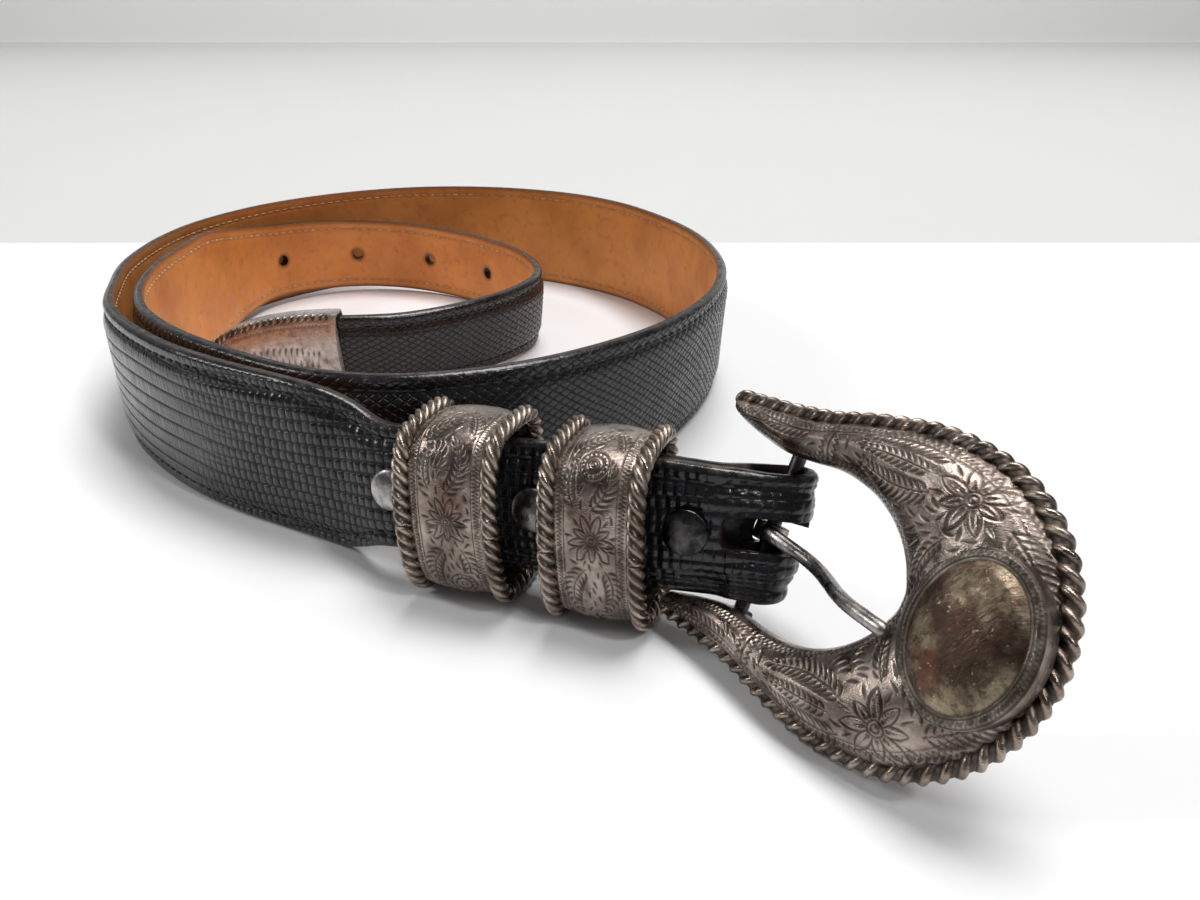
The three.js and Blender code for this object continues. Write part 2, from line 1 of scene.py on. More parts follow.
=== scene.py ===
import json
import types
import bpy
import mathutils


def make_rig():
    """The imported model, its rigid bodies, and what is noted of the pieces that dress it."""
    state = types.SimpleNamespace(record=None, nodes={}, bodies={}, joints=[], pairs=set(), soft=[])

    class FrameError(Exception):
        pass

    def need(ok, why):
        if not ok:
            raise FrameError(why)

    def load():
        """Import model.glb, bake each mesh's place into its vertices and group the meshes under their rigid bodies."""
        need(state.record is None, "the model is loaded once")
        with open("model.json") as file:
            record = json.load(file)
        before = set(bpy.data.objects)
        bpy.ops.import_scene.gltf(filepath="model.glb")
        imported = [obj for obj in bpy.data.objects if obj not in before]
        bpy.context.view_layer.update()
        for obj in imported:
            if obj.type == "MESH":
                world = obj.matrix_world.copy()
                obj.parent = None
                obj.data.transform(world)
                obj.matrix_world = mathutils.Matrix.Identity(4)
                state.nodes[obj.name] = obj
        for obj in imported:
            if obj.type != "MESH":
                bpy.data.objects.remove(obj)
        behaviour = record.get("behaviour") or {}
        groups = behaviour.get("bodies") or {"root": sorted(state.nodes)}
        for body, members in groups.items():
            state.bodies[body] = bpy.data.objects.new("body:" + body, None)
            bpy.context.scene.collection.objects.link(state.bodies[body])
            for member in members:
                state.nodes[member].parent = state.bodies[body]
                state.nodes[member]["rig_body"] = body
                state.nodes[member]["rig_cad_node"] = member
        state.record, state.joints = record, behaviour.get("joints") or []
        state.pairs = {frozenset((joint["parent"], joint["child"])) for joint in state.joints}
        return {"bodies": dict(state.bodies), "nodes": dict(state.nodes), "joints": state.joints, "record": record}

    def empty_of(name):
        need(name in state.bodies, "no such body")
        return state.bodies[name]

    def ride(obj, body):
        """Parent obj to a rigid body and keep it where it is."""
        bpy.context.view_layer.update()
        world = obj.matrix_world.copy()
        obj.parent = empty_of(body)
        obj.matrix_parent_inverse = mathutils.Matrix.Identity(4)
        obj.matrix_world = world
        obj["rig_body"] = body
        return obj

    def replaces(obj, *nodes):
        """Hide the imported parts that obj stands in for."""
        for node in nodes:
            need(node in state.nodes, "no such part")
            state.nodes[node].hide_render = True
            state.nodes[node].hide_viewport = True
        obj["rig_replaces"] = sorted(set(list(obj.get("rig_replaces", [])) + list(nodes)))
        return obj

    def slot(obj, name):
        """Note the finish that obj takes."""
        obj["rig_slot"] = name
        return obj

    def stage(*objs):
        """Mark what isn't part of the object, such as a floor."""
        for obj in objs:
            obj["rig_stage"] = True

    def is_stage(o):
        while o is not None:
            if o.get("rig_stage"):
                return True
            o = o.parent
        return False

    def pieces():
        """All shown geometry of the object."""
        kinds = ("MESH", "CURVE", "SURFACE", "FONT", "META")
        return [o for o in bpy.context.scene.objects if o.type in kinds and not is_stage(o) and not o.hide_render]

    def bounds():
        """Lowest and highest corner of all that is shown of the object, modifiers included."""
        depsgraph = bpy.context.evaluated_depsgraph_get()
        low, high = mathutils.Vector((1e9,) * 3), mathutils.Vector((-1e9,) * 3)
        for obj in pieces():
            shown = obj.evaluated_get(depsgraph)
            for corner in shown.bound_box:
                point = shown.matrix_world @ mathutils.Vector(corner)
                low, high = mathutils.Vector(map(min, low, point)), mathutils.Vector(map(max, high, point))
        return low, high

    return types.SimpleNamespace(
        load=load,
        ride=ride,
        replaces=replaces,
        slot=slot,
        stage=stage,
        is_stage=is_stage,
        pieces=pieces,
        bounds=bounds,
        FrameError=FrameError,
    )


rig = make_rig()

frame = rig.load()
cad_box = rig.bounds()

import json
import math

import bpy
from mathutils import Vector
import numpy as np

# The belt is laid out in millimetres and made in metres by MM. Floor, lights and camera are in metres.
MM = 0.001
SHIFT = np.array([34.6, -208.5, 0.0])

# Strap sizes
FACE_MID = 1.9
FACE_EDGE = 1.15
LINING_BACK = -1.3
PLY_SEAM = -0.15
LIP = 1.15
STITCH_SINK = 0.3
SCALE_RISE = 0.27
SCALE_SINK = 0.2
CREASE_SINK = 0.13
FOLD_START = 44
FOLD_END = 80
STITCH_INSET = 2.7
STITCH_END = 34
HOLE_RADIUS = 1.8
RIVET_HOLE = 1.8
HOLE_PITCH = 26.6
HOLE_COUNT = 4
HOLE_FROM_TIP = 135.5

# Slot for the prong. It runs SLOT_FLAP from the bar on the flap, SLOT_LINING further there in the
# lining, and SLOT_FRONT from the bar on the front. The rest are its lower and upper edges and corner.
SLOT_FLAP = 2.9
SLOT_LINING = 2.4
SLOT_FRONT = 6.9
SLOT_LOW = -2.2
SLOT_FLAP_HIGH = 1.75
SLOT_FRONT_HIGH = 3.0
SLOT_CORNER = 1.2
SLOT_STEP = 6
SLOT_OVERLAP = 3

# Scales: pitches of the pebbles, of the ribs with their cross lines and of the net, where along the
# strap the ribs, the net and the rings begin, and how each row of scales is shifted
PEBBLE_LONG = 1.75
PEBBLE_HIGH = 2.15
PEBBLE_SLANT = 0.07
PEBBLE_SHIFT = 0.5
RIB_HIGH = 3.3
RIB_LONG = 1.15
LEFT_ZONE = 154
RIGHT_ZONE = 330
TIP_ZONE = 850
NET_LEAN = (1.5, -1.4)
NET_LONG = (2.6, 2.5)
NET_CELL = 1.6
ROW_START = 20
JOG = 0.3
JOG_TURN = 2.1

# Stretch and fold beside the buckle
STRETCH_START = np.array([-33.9, 139.4, 16.3])
STRETCH_DIR = np.array([0.944, -0.321, 0.031])
STRETCH_TILT = np.array([0.02, 0.235])
FOLD_TILT = np.array([0.29, 0.43])
BAR_ALONG = 62.6
FOLD_RADIUS = 3.2
FOLD_PAST_BAR = 0.9
FLAP_BEHIND = 3.2
BAR_BEHIND = 3.4
RIVET_ALONG = [-1.0, 25.2, 50.4]

# Keepers
KEEPER_ALONG = [13.4, 37.6]
KEEPER_LENGTH = [15.4, 14.4]
KEEPER_TILT = np.array([0.0, 0.02])
WINDOW_HALF = 12.9
WINDOW_FRONT = 6.8
WINDOW_BACK = 8.3
KEEPER_FLOOR = 16.2
KEEPER_WALL = 1.2
KEEPER_DOME = 1.1
KEEPER_CROWN = 1.5
KEEPER_ROPE = 1.45

# Buckle
BAR_TILT = 14.0
BAR_LEAN = 1.5
SWING = 30.3
BODY_SKEW = 1.6
BAR_RADIUS = 1.15
BAR_DEPTH = -3.8
LUG_INNER = 12.7
LUG_HALF = 1.6
ROPE_RADIUS = 1.55
BACK_LEVEL = -1.4
PLAQUE_CENTRE = 38.2
PLAQUE_HALF = (7.4, 9.8)
TAIL_END = 0.5
PRONG_RADIUS = 1.05
PRONG_LOOP = 2.1
RIVET_HEAD = 3.7

# Tip
TIP_LENGTH = 32.0
TIP_MOUTH = np.array([-64.2, 216.0, 12.5])
TIP_DIR = np.array([-0.995, 0.08, 0.0])
TIP_TILT = np.array([0.0, -0.17])

# Cuts, stains and ropes of the silver
PLUME_CUT = 0.33
CUT_DEPTH = 0.17
KEEPER_STAIN = (0.45, 0.2)
KEEPER_PITCH = 6.2
BUCKLE_PITCH = 5.0
TIP_PITCH = 3.6
TIP_ROPE = 0.96
TWO_STRANDS = {"Strands": 2.0, "Strand": 0.58}

# Floor, wall and the edge where the painted shade band on the floor begins, in metres
FLOOR_REACH = 8
WALL_BACK = 2.2
WALL_HIGH = 3
SHADE_EDGE = (0.1745, 0.1775)

# Lights. Columns: name, place, aim, width, height, power
LIGHTS = [
    ("overhead", (0.5, 0.5, 2.6), (0, 0, 0), 1.7, 1.0, 60.0),
    ("window_left", (-2.2, -0.1, 1.5), (0, 0, 0.02), 0.7, 1.0, 19.0),
    ("lamp_right", (1.0, -0.9, 1.5), (0.02, -0.05, 0.02), 0.2, 0.2, 7.0),
]
SKY_COLOR = (0.97, 0.97, 0.98, 1)
SKY_POWER = 0.13
CAMERA_PLACE = (0.0346, -0.2085, 0.0917)
CAMERA_TILT = 63.9
CAMERA_LENS = 27.6


def unit(vector):
    return vector / np.linalg.norm(vector)


# Distance walked along a row of points, from 0 at the first.
def walked(points):
    return np.concatenate([[0], np.cumsum(np.linalg.norm(np.diff(points, axis=0), axis=1))])


# A curve from p to r that bends towards q.
def bent(p, q, r, count):
    t = np.linspace(0, 1, count)[:, None]
    return (1 - t) ** 2 * p + 2 * t * (1 - t) * q + t * t * r


def circle(count):
    return np.linspace(0, 2 * math.pi, count, endpoint=False)


# A sine or cosine made squarer by a power under 1.
def squarer(share, power):
    return np.sign(share) * np.abs(share) ** power


# How far the edge of a square with soft corners lies out, as a share of a circle's radius.
def soft_square(angle, power):
    return 1 / np.maximum(np.abs(np.cos(angle)), np.abs(np.sin(angle))) ** power


STRETCH_DIR = unit(STRETCH_DIR)
TIP_DIR = unit(TIP_DIR)


# Directions of a straight piece: its origin, along, up and out (the face side).
class Place:
    def __init__(self, origin, along, up, out):
        self.origin = np.asarray(origin, float)
        self.along = along
        self.up = up
        self.out = out

    def at(self, a, b, c):
        a, b, c = np.broadcast_arrays(a, b, c)
        return (self.origin + a[..., None] * self.along + b[..., None] * self.up
                + c[..., None] * self.out)


def stretch_place(tilt):
    rise = np.array([tilt[0], tilt[1], 1.0])
    up = unit(rise - rise.dot(STRETCH_DIR) * STRETCH_DIR)
    out = unit(np.cross(up, STRETCH_DIR))
    return Place(STRETCH_START, STRETCH_DIR, up, out if out[1] < 0 else -out)


stretch = stretch_place(STRETCH_TILT)

# Route of the leather at half height. Columns: x, y, then z, tilt in x, tilt in y and width
# where these are not the plain ones.
PLAIN = (16, 0, 0, 32)
ROUTE = [
    (-44.8, 145.6, 15.6, 0.01, 0.1, 28.6), (-52.9, 149.6, 16, 0, 0, 31.6), (-71, 159.6), (-85.4, 169.8),
    (-98.8, 183), (-108.6, 196.6), (-115, 212.3), (-120.9, 231), (-123.4, 252), (-122.4, 271),
    (-117.3, 288.2), (-108.6, 304.2), (-96.2, 317.6), (-81, 328), (-64, 334), (-45.5, 334.9),
    (-26.6, 330.6), (-8, 320.6, 16, 0.01, 0.01), (7.6, 305.8, 16, -0.02, -0.01),
    (19, 287.4, 16, -0.05, -0.02), (26.8, 268, 16, -0.05, -0.01), (30.6, 247, 16, -0.03),
    (29.4, 225, 16, 0.06, -0.02), (23.2, 203.4, 16, 0.12, -0.06), (12.6, 184.2, 16, 0.1, -0.1),
    (-1.6, 168.2, 16, 0.05, -0.07), (-18, 157, 16, 0.01, -0.03), (-36.5, 151.9), (-54.5, 155.6),
    (-72.6, 166.6), (-87.4, 178.6), (-99.6, 193), (-107.6, 209.6), (-112.2, 228.6), (-113.6, 248),
    (-113.2, 264, 16, 0, 0, 31.6), (-111.6, 280, 15.6, 0.05, 0, 27.5),
    (-106.6, 296.4, 14.9, 0.08, -0.06, 24.2), (-95.6, 308.6, 14, 0.04, -0.08, 23.4),
    (-80.4, 314.4, 13.2, 0, -0.08, 23), (-64, 312.6, 12.6, 0, -0.06, 22.8),
    (-48.4, 305.2, 12, -0.02, -0.04, 22.6), (-34, 293, 11.7, -0.03, -0.02, 22.6),
    (-22.8, 276.6, 11.5, 0, 0, 22.6), (-18.6, 258.6, 11.4, 0.1, -0.1, 22.4),
    (-23.8, 243.4, 11.4, 0.12, -0.18, 22), (-35, 230.2, 11.6, 0.08, -0.22, 21.4),
    (-48.8, 220.6, 11.8, 0.03, -0.2, 20.8),
]
# Flap and fold. Columns: along, behind, drop, share of the fold's tilt, width
FLAP = [
    (15.5, 0, 1.8, 0, 20.4), (20, 0, 1.7, 0, 21), (28, 0, 0.8, 0, 21.2), (36, 0, 0.2, 0, 21.2),
    (44, 0, 0, 0, 21.2), (50, 0, 0, 0, 20.8), (55.3, 0.4, 0, 0, 20.5), (59.6, 2, 0, 0.8, 20.4),
]
FRONT = [(59.6, 0.85, 20.2), (55.3, 0, 20.6), (50, 0, 21), (44, 0, 21.5)]
TONGUE = [(0, 20.4), (9, 19.4), (18, 15.2), (24, 9.4), (27.6, 4)]


def strap_rows():
    rows = [(a, FLAP_BEHIND + behind, drop, share, width) for a, behind, drop, share, width in FLAP]
    for i in range(9):
        angle = math.pi * (0.5 - i / 8)
        rows.append((BAR_ALONG + FOLD_PAST_BAR + FOLD_RADIUS * math.cos(angle),
                     FOLD_RADIUS * (1 + math.sin(angle)), 0, 1, 20.4))
    rows += [(a, 0, 0, share, width) for a, share, width in FRONT]
    rows += [(a, 0, 0, 0, 22.4 if a < 0 else 22) for a in range(36, -5, -8)]
    full = []
    for a, behind, drop, share, width in rows:
        point = stretch.at(a, -drop, -behind)
        tilt = STRETCH_TILT + (FOLD_TILT - STRETCH_TILT) * share
        full.append([*point, *tilt, width])
    full += [[*row, *PLAIN[len(row) - 2:]] for row in ROUTE]
    for along, width in TONGUE:
        full.append([*(TIP_MOUTH + TIP_DIR * along), *TIP_TILT, width])
    return np.array(full, float)


# Cubic through the rows, every column carried the same way.
def cubic(rows, i, t):
    last = len(rows) - 1
    p, q, u, w = (rows[min(max(k, 0), last)] for k in (i - 1, i, i + 1, i + 2))
    t = np.asarray(t)[:, None]
    return q + 0.5 * t * (u - p + t * (2 * p - 5 * q + 4 * u - w + t * (3 * (q - u) + w - p)))


def smooth_rows(rows, steps):
    parts = [cubic(rows, i, np.arange(steps) / steps) for i in range(len(rows) - 1)]
    return np.vstack(parts + [rows[-1:]])


# The leather as a ribbon: a point at a distance along it, a height on it and a depth out of it.
class Ribbon:
    def __init__(self):
        rows = smooth_rows(strap_rows(), 24)
        points = rows[:, :3]
        self.run = walked(points)
        self.length = self.run[-1]
        self.points = points
        self.half = rows[:, 5] / 2
        rise = np.column_stack([rows[:, 3:5], np.ones(len(rows))])
        self.up = rise / np.linalg.norm(rise, axis=1)[:, None]
        along = np.gradient(points, axis=0)
        out = np.cross(self.up, along)
        self.out = out / np.linalg.norm(out, axis=1)[:, None]

    def read(self, table, run):
        if table.ndim == 1:
            return np.interp(run, self.run, table)
        return np.stack([np.interp(run, self.run, table[:, c]) for c in range(table.shape[1])], -1)

    def at(self, run, height, depth):
        run, height, depth = np.broadcast_arrays(run, height, depth)
        return (self.read(self.points, run) + height[..., None] * self.read(self.up, run)
                + depth[..., None] * self.read(self.out, run))

    # Distance along the ribbon of its front layer at a place on the stretch.
    def front(self, along):
        return self.beside(along, (self.run > 52) & (self.run < 130))

    # The same for the flap behind it.
    def flap(self, along):
        return self.beside(along, self.run < 49)

    def beside(self, along, part):
        local = (self.points - stretch.origin) @ STRETCH_DIR
        rows = np.flatnonzero(part)
        order = rows[np.argsort(local[rows])]
        return float(np.interp(along, local[order], self.run[order]))


ribbon = Ribbon()


# Mesh making
# Faces turned so that their shell's volume is more than nothing.
def ordered(points, faces):
    volume = 0.0
    for block in faces:
        for k in range(1, block.shape[1] - 1):
            a, b, c = points[block[:, 0]], points[block[:, k]], points[block[:, k + 1]]
            volume += np.einsum("ij,ij->", a, np.cross(b, c))
    if volume < 0:
        return [block[:, ::-1] for block in faces]
    return faces


class Shells:
    """Closed shells gathered into one mesh, with a few numbers kept at each point."""

    def __init__(self, *numbers):
        self.points = []
        self.faces = []
        self.finish = []
        self.numbers = {name: [] for name in numbers}
        self.count = 0

    def add(self, points, faces, finish=0, **numbers):
        points = np.asarray(points, float).reshape(-1, 3)
        marks = finish if isinstance(finish, list) else [finish] * len(faces)
        for block, mark in zip(ordered(points, faces), marks):
            self.faces.append(block + self.count)
            self.finish.append(np.full(len(block), mark))
        self.points.append(points)
        for name, store in self.numbers.items():
            store.append(np.broadcast_to(np.ravel(numbers.get(name, 0.0)), len(points)))
        self.count += len(points)

    def piece(self, name, body, node, finishes):
        mesh = bpy.data.meshes.new(name)
        points = (np.vstack(self.points) + SHIFT) * MM
        mesh.vertices.add(len(points))
        mesh.vertices.foreach_set("co", points.ravel())
        sizes = np.concatenate([np.full(len(b), b.shape[1]) for b in self.faces])
        corners = np.concatenate([b.ravel() for b in self.faces])
        mesh.loops.add(len(corners))
        mesh.loops.foreach_set("vertex_index", corners.astype(np.int32))
        mesh.polygons.add(len(sizes))
        mesh.polygons.foreach_set("loop_start", np.concatenate([[0], np.cumsum(sizes)[:-1]]).astype(np.int32))
        mesh.polygons.foreach_set("material_index", np.concatenate(self.finish).astype(np.int32))
        mesh.update(calc_edges=True)
        mesh.polygons.foreach_set("use_smooth", np.ones(len(sizes), bool))
        for label, store in self.numbers.items():
            mesh.attributes.new(label, "FLOAT", "POINT").data.foreach_set("value", np.concatenate(store))
        for material in finishes:
            mesh.materials.append(material)
        mesh.set_sharp_from_angle(angle=math.radians(50))
        return dress(bpy.data.objects.new(name, mesh), body, node)


def dress(piece, body, node):
    if piece.name not in bpy.context.scene.collection.objects:
        bpy.context.scene.collection.objects.link(piece)
    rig.ride(piece, body)
    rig.replaces(piece, node)
    slots = {s["node"]: s["material_slot"] for s in frame["record"]["subparts"]}
    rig.slot(piece, slots[node])
    return piece


# Four-sided faces of n rings of m points, the last ring joined to the first where the loft is a loop.
def grid(n, m, loop):
    i, j = np.meshgrid(np.arange(n if loop else n - 1), np.arange(m), indexing="ij")
    i, j = i.ravel(), j.ravel()
    a, b = (i + 1) % n, (j + 1) % m
    return np.column_stack([i * m + j, a * m + j, a * m + b, i * m + b])


# Three-sided faces that close a ring round its centre.
def fan(ring, centre):
    ring = np.asarray(ring)
    return np.column_stack([np.full(len(ring), centre), ring, np.roll(ring, -1)])


# A tube with closed ends, or a loft of rings given as an n by m array of points.
def loft(rings, loop=False):
    n, m = rings.shape[:2]
    points = rings.reshape(-1, 3)
    faces = [grid(n, m, loop)]
    if not loop:
        ends = np.vstack([rings[0].mean(0), rings[-1].mean(0)])
        points = np.vstack([points, ends])
        faces.append(np.vstack([fan(np.arange(m)[::-1], n * m), fan(np.arange(m) + (n - 1) * m, n * m + 1)]))
    return points, faces


# Slow waves over a sheet, and a chance number for each cell of it.
def wobble(s, h, scale, seed=0.0):
    x, y = s / scale, h / scale
    return (np.sin(x + 1.7 * np.sin(y * 0.9 + seed)) + np.sin(1.6 * y - 1.3 * np.sin(0.8 * x + seed * 2))
            + np.sin(0.73 * x + 1.2 * y + seed * 3)) / 3


def chance(i, j, seed=0.0):
    value = np.sin(i * 12.9898 + j * 78.233 + seed) * 43758.5453
    return value - np.floor(value)


def ease(x):
    x = np.clip(x, 0, 1)
    return x * x * (3 - 2 * x)


# Puts a node down and fills its sockets with values or with links from other nodes.
def put_node(tree, kind, inputs, settings):
    node = tree.nodes.new(kind)
    for label, value in settings.items():
        setattr(node, label, value)
    for label, value in inputs.items():
        if isinstance(value, bpy.types.NodeSocket):
            tree.links.new(value, node.inputs[label])
        else:
            node.inputs[label].default_value = value
    return node


# Finishes
class Finish:
    """A material with short ways to lay its nodes."""

    def __init__(self, name, **shader):
        self.material = bpy.data.materials.new(name)
        self.material.use_nodes = True
        self.tree = self.material.node_tree
        self.link = self.tree.links.new
        self.shader = self.tree.nodes["Principled BSDF"]
        for label, value in shader.items():
            plain = "IOR" if label == "ior" else label.capitalize()
            self.shader.inputs[plain].default_value = value
        self.place = self.put("ShaderNodeTexCoord", {}).outputs["Object"]

    def put(self, kind, inputs, **settings):
        return put_node(self.tree, kind, inputs, settings)

    def noise(self, size, detail=4, rough=0.55, stretch=None):
        vector = self.place
        if stretch:
            vector = self.put("ShaderNodeMapping", {"Vector": vector, "Scale": stretch}).outputs[0]
        inputs = {"Vector": vector, "Scale": 1000 / size, "Detail": detail, "Roughness": rough}
        return self.put("ShaderNodeTexNoise", inputs).outputs["Fac"]

    def number(self, name):
        return self.put("ShaderNodeAttribute", {}, attribute_name=name).outputs["Fac"]

    def span(self, value, low, high, to_low=0.0, to_high=1.0):
        inputs = {"Value": value, "From Min": low, "From Max": high, "To Min": to_low, "To Max": to_high}
        return self.put("ShaderNodeMapRange", inputs, interpolation_type="SMOOTHSTEP").outputs[0]

    def sum(self, a, b, operation="ADD"):
        return self.put("ShaderNodeMath", {0: a, 1: b}, operation=operation).outputs[0]

    def blend(self, share, a, b):
        node = self.put("ShaderNodeMix", {"Factor": share}, data_type="RGBA", blend_type="MIX")
        for socket, value in ((node.inputs[6], a), (node.inputs[7], b)):
            if isinstance(value, bpy.types.NodeSocket):
                self.link(value, socket)
            else:
                socket.default_value = (*value, 1)
        return node.outputs[2]

    def bump(self, height, depth, normal=None):
        inputs = {"Height": height, "Distance": depth * MM, "Strength": 1.0}
        if normal is not None:
            inputs["Normal"] = normal
        return self.put("ShaderNodeBump", inputs).outputs[0]

    def done(self, color=None, roughness=None, normal=None):
        for label, value in (("Base Color", color), ("Roughness", roughness), ("Normal", normal)):
            if value is not None:
                self.link(value, self.shader.inputs[label])
        return self.material


# How deep in a furrow a point lies, from the skin's own running and rising numbers.
def furrows(f):
    along, across, rib = f.number("along"), f.number("across"), f.number("rib")

    def near(value, pitch):
        part = f.sum(value, 0.0, "FRACT")
        return f.sum(f.sum(part, f.sum(1.0, part, "SUBTRACT"), "MINIMUM"), pitch, "MULTIPLY")

    def corner(a, b):
        return f.put("ShaderNodeMath", {0: a, 1: b, 2: 0.45}, operation="SMOOTH_MIN").outputs[0]

    def slanted(lean, size):
        return f.sum(f.sum(along, f.sum(across, lean, "MULTIPLY")), size, "DIVIDE")

    risen = f.sum(f.sum(along, PEBBLE_SLANT, "MULTIPLY"), across)
    row = f.sum(f.sum(risen, PEBBLE_HIGH, "DIVIDE"), ROW_START)
    level = f.sum(row, 0.0, "FLOOR")
    jog = f.sum(f.sum(f.sum(level, JOG_TURN, "MULTIPLY"), 0.0, "SINE"), JOG, "MULTIPLY")
    shifted = f.sum(f.sum(along, PEBBLE_LONG, "DIVIDE"), f.sum(level, PEBBLE_SHIFT, "MULTIPLY"))
    column = f.sum(shifted, jog)
    pebbled = f.span(corner(near(row, PEBBLE_HIGH), near(column, PEBBLE_LONG)), 0.02, 0.3, 1, 0)
    ribbed = f.span(near(f.sum(rib, RIB_HIGH, "DIVIDE"), RIB_HIGH), 0.08, 0.34, 1, 0)
    fine = f.span(near(f.sum(along, RIB_LONG, "DIVIDE"), RIB_LONG), 0.02, 0.2, 0.16, 0)
    nets = [near(slanted(lean, long), NET_CELL) for lean, long in zip(NET_LEAN, NET_LONG)]
    netted = f.span(corner(*nets), -0.02, 0.24, 1, 0)
    left, right = f.number("left"), f.number("right")
    ribbed = f.sum(ribbed, fine, "MAXIMUM")

    def turn(share, a, b):
        return f.sum(a, f.sum(share, f.sum(b, a, "SUBTRACT"), "MULTIPLY"))

    return f.sum(turn(right, turn(left, pebbled, ribbed), netted), f.number("skin"), "MULTIPLY")


def lizard_finish():
    f = Finish("black_lizard", ior=1.5)
    f.shader.inputs["Specular IOR Level"].default_value = 0.42
    f.shader.inputs["Coat Weight"].default_value = 0.16
    f.shader.inputs["Coat Roughness"].default_value = 0.08
    lines = furrows(f)
    groove = f.sum(f.sum(f.number("groove"), 0.4, "MULTIPLY"), lines, "MAXIMUM")
    mottled = f.noise(9, 5)
    body = f.blend(f.span(mottled, 0.35, 0.7), (0.005, 0.0048, 0.0062), (0.0145, 0.0132, 0.0172))
    body = f.blend(f.span(f.noise(1.1, 3), 0.55, 0.8), body, (0.027, 0.025, 0.031))
    # Painted shade: the scale furrows are darkened to near black.
    color = f.blend(groove, body, (0.002, 0.002, 0.002))
    rubbed = f.sum(f.number("wear"), f.span(f.noise(2.2, 4), 0.45, 0.7), "MULTIPLY")
    color = f.blend(rubbed, color, (0.11, 0.09, 0.075))
    rough = f.span(f.noise(5, 4), 0.3, 0.75, 0.13, 0.3)
    rough = f.sum(rough, f.sum(groove, 0.6, "MULTIPLY"))
    normal = f.bump(f.noise(0.7, 3, 0.6), 0.06)
    normal = f.bump(f.sum(1.0, lines, "SUBTRACT"), 0.17, normal)
    normal = f.bump(f.noise(3.2, 3), 0.16, normal)
    return f.done(color, rough, normal)


def edge_finish():
    f = Finish("burnished_edge", ior=1.48)
    color = f.blend(f.span(f.noise(3, 5), 0.3, 0.75), (0.006, 0.005, 0.005), (0.045, 0.022, 0.012))
    return f.done(color, f.span(f.noise(1.2, 3), 0.3, 0.7, 0.28, 0.6), f.bump(f.noise(0.8, 4), 0.12))


def tan_finish():
    f = Finish("tan_lining", ior=1.45)
    cloud = f.noise(26, 5)
    color = f.blend(f.span(cloud, 0.32, 0.68), (0.54, 0.178, 0.037), (0.73, 0.272, 0.062))
    color = f.blend(f.span(f.noise(2.4, 5), 0.5, 0.78, 0, 0.5), color, (0.36, 0.11, 0.025))
    color = f.blend(f.span(f.noise(0.55, 3), 0.52, 0.8, 0, 0.45), color, (0.6, 0.28, 0.1))
    browned = f.sum(f.number("edge"), f.span(cloud, 0.2, 0.8, 0.7, 1.0), "MULTIPLY")
    color = f.blend(browned, color, (0.085, 0.03, 0.012))
    rough = f.span(f.noise(6, 4), 0.3, 0.7, 0.42, 0.62)
    normal = f.bump(f.noise(0.45, 4, 0.65), 0.07)
    return f.done(color, rough, f.bump(f.noise(3, 4), 0.12, normal))


def thread_finish(name, light, dark):
    f = Finish(name)
    color = f.blend(f.span(f.noise(1.5, 3), 0.35, 0.7), dark, light)
    return f.done(color, f.span(f.noise(0.8, 3), 0.3, 0.7, 0.45, 0.75), f.bump(f.noise(0.25, 2), 0.05))


def silver_finish(name, bright, worn, dark, metal=1.0):
    f = Finish(name, metallic=metal)
    cut = f.number("cut")
    color = f.blend(f.span(f.noise(7, 6, 0.6), 0.35, 0.66), worn, bright)
    stain = f.span(f.noise(3.4, 5, 0.65), 0.47, 0.7, 0, 0.8)
    color = f.blend(stain, color, dark)
    color = f.blend(f.number("tarnish"), color, (0.13, 0.055, 0.035))
    color = f.blend(f.span(cut, 0.1, 0.9, 0, 0.68), color, (0.016, 0.012, 0.01))
    rough = f.span(f.noise(2.6, 5), 0.3, 0.72, 0.17, 0.4)
    rough = f.sum(rough, f.sum(cut, 0.25, "MULTIPLY"))
    normal = f.bump(f.noise(0.5, 4, 0.7), 0.035)
    scratches = f.noise(1.6, 2, 0.5, (1, 9, 9))
    return f.done(color, rough, f.bump(scratches, 0.05, normal))


def oval_finish():
    f = Finish("mottled_oval", metallic=0.85)
    color = f.blend(f.span(f.noise(8, 6, 0.62), 0.38, 0.62), (0.075, 0.046, 0.032), (0.29, 0.235, 0.16))
    color = f.blend(f.span(f.noise(5, 5, 0.65), 0.5, 0.66, 0, 0.75), color, (0.13, 0.045, 0.028))
    color = f.blend(f.span(f.noise(1.5, 6, 0.7), 0.48, 0.62, 0, 0.7), color, (0.05, 0.032, 0.022))
    color = f.blend(f.span(f.noise(0.8, 5, 0.7), 0.6, 0.72, 0, 0.8), color, (0.55, 0.47, 0.34))
    ring = f.blend(f.span(f.noise(5, 5), 0.4, 0.62), (0.12, 0.095, 0.075), (0.3, 0.255, 0.21))
    color = f.blend(f.number("dome"), ring, color)
    cut = f.number("cut")
    color = f.blend(f.span(cut, 0.1, 0.9, 0, 0.68), color, (0.016, 0.012, 0.01))
    rough = f.span(f.noise(1.8, 5, 0.6), 0.3, 0.7, 0.24, 0.6)
    normal = f.bump(f.noise(0.6, 5, 0.7), 0.07)
    return f.done(color, rough, f.bump(f.noise(2.4, 3, 0.6, (1, 5, 2)), 0.12, normal))


def steel_finish(name, light, dark, rough_low, rough_high):
    f = Finish(name, metallic=1.0)
    color = f.blend(f.span(f.noise(2.8, 5, 0.6), 0.35, 0.68), dark, light)
    rough = f.span(f.noise(1.7, 4), 0.3, 0.7, rough_low, rough_high)
    return f.done(color, rough, f.bump(f.noise(0.9, 4, 0.65), 0.06))


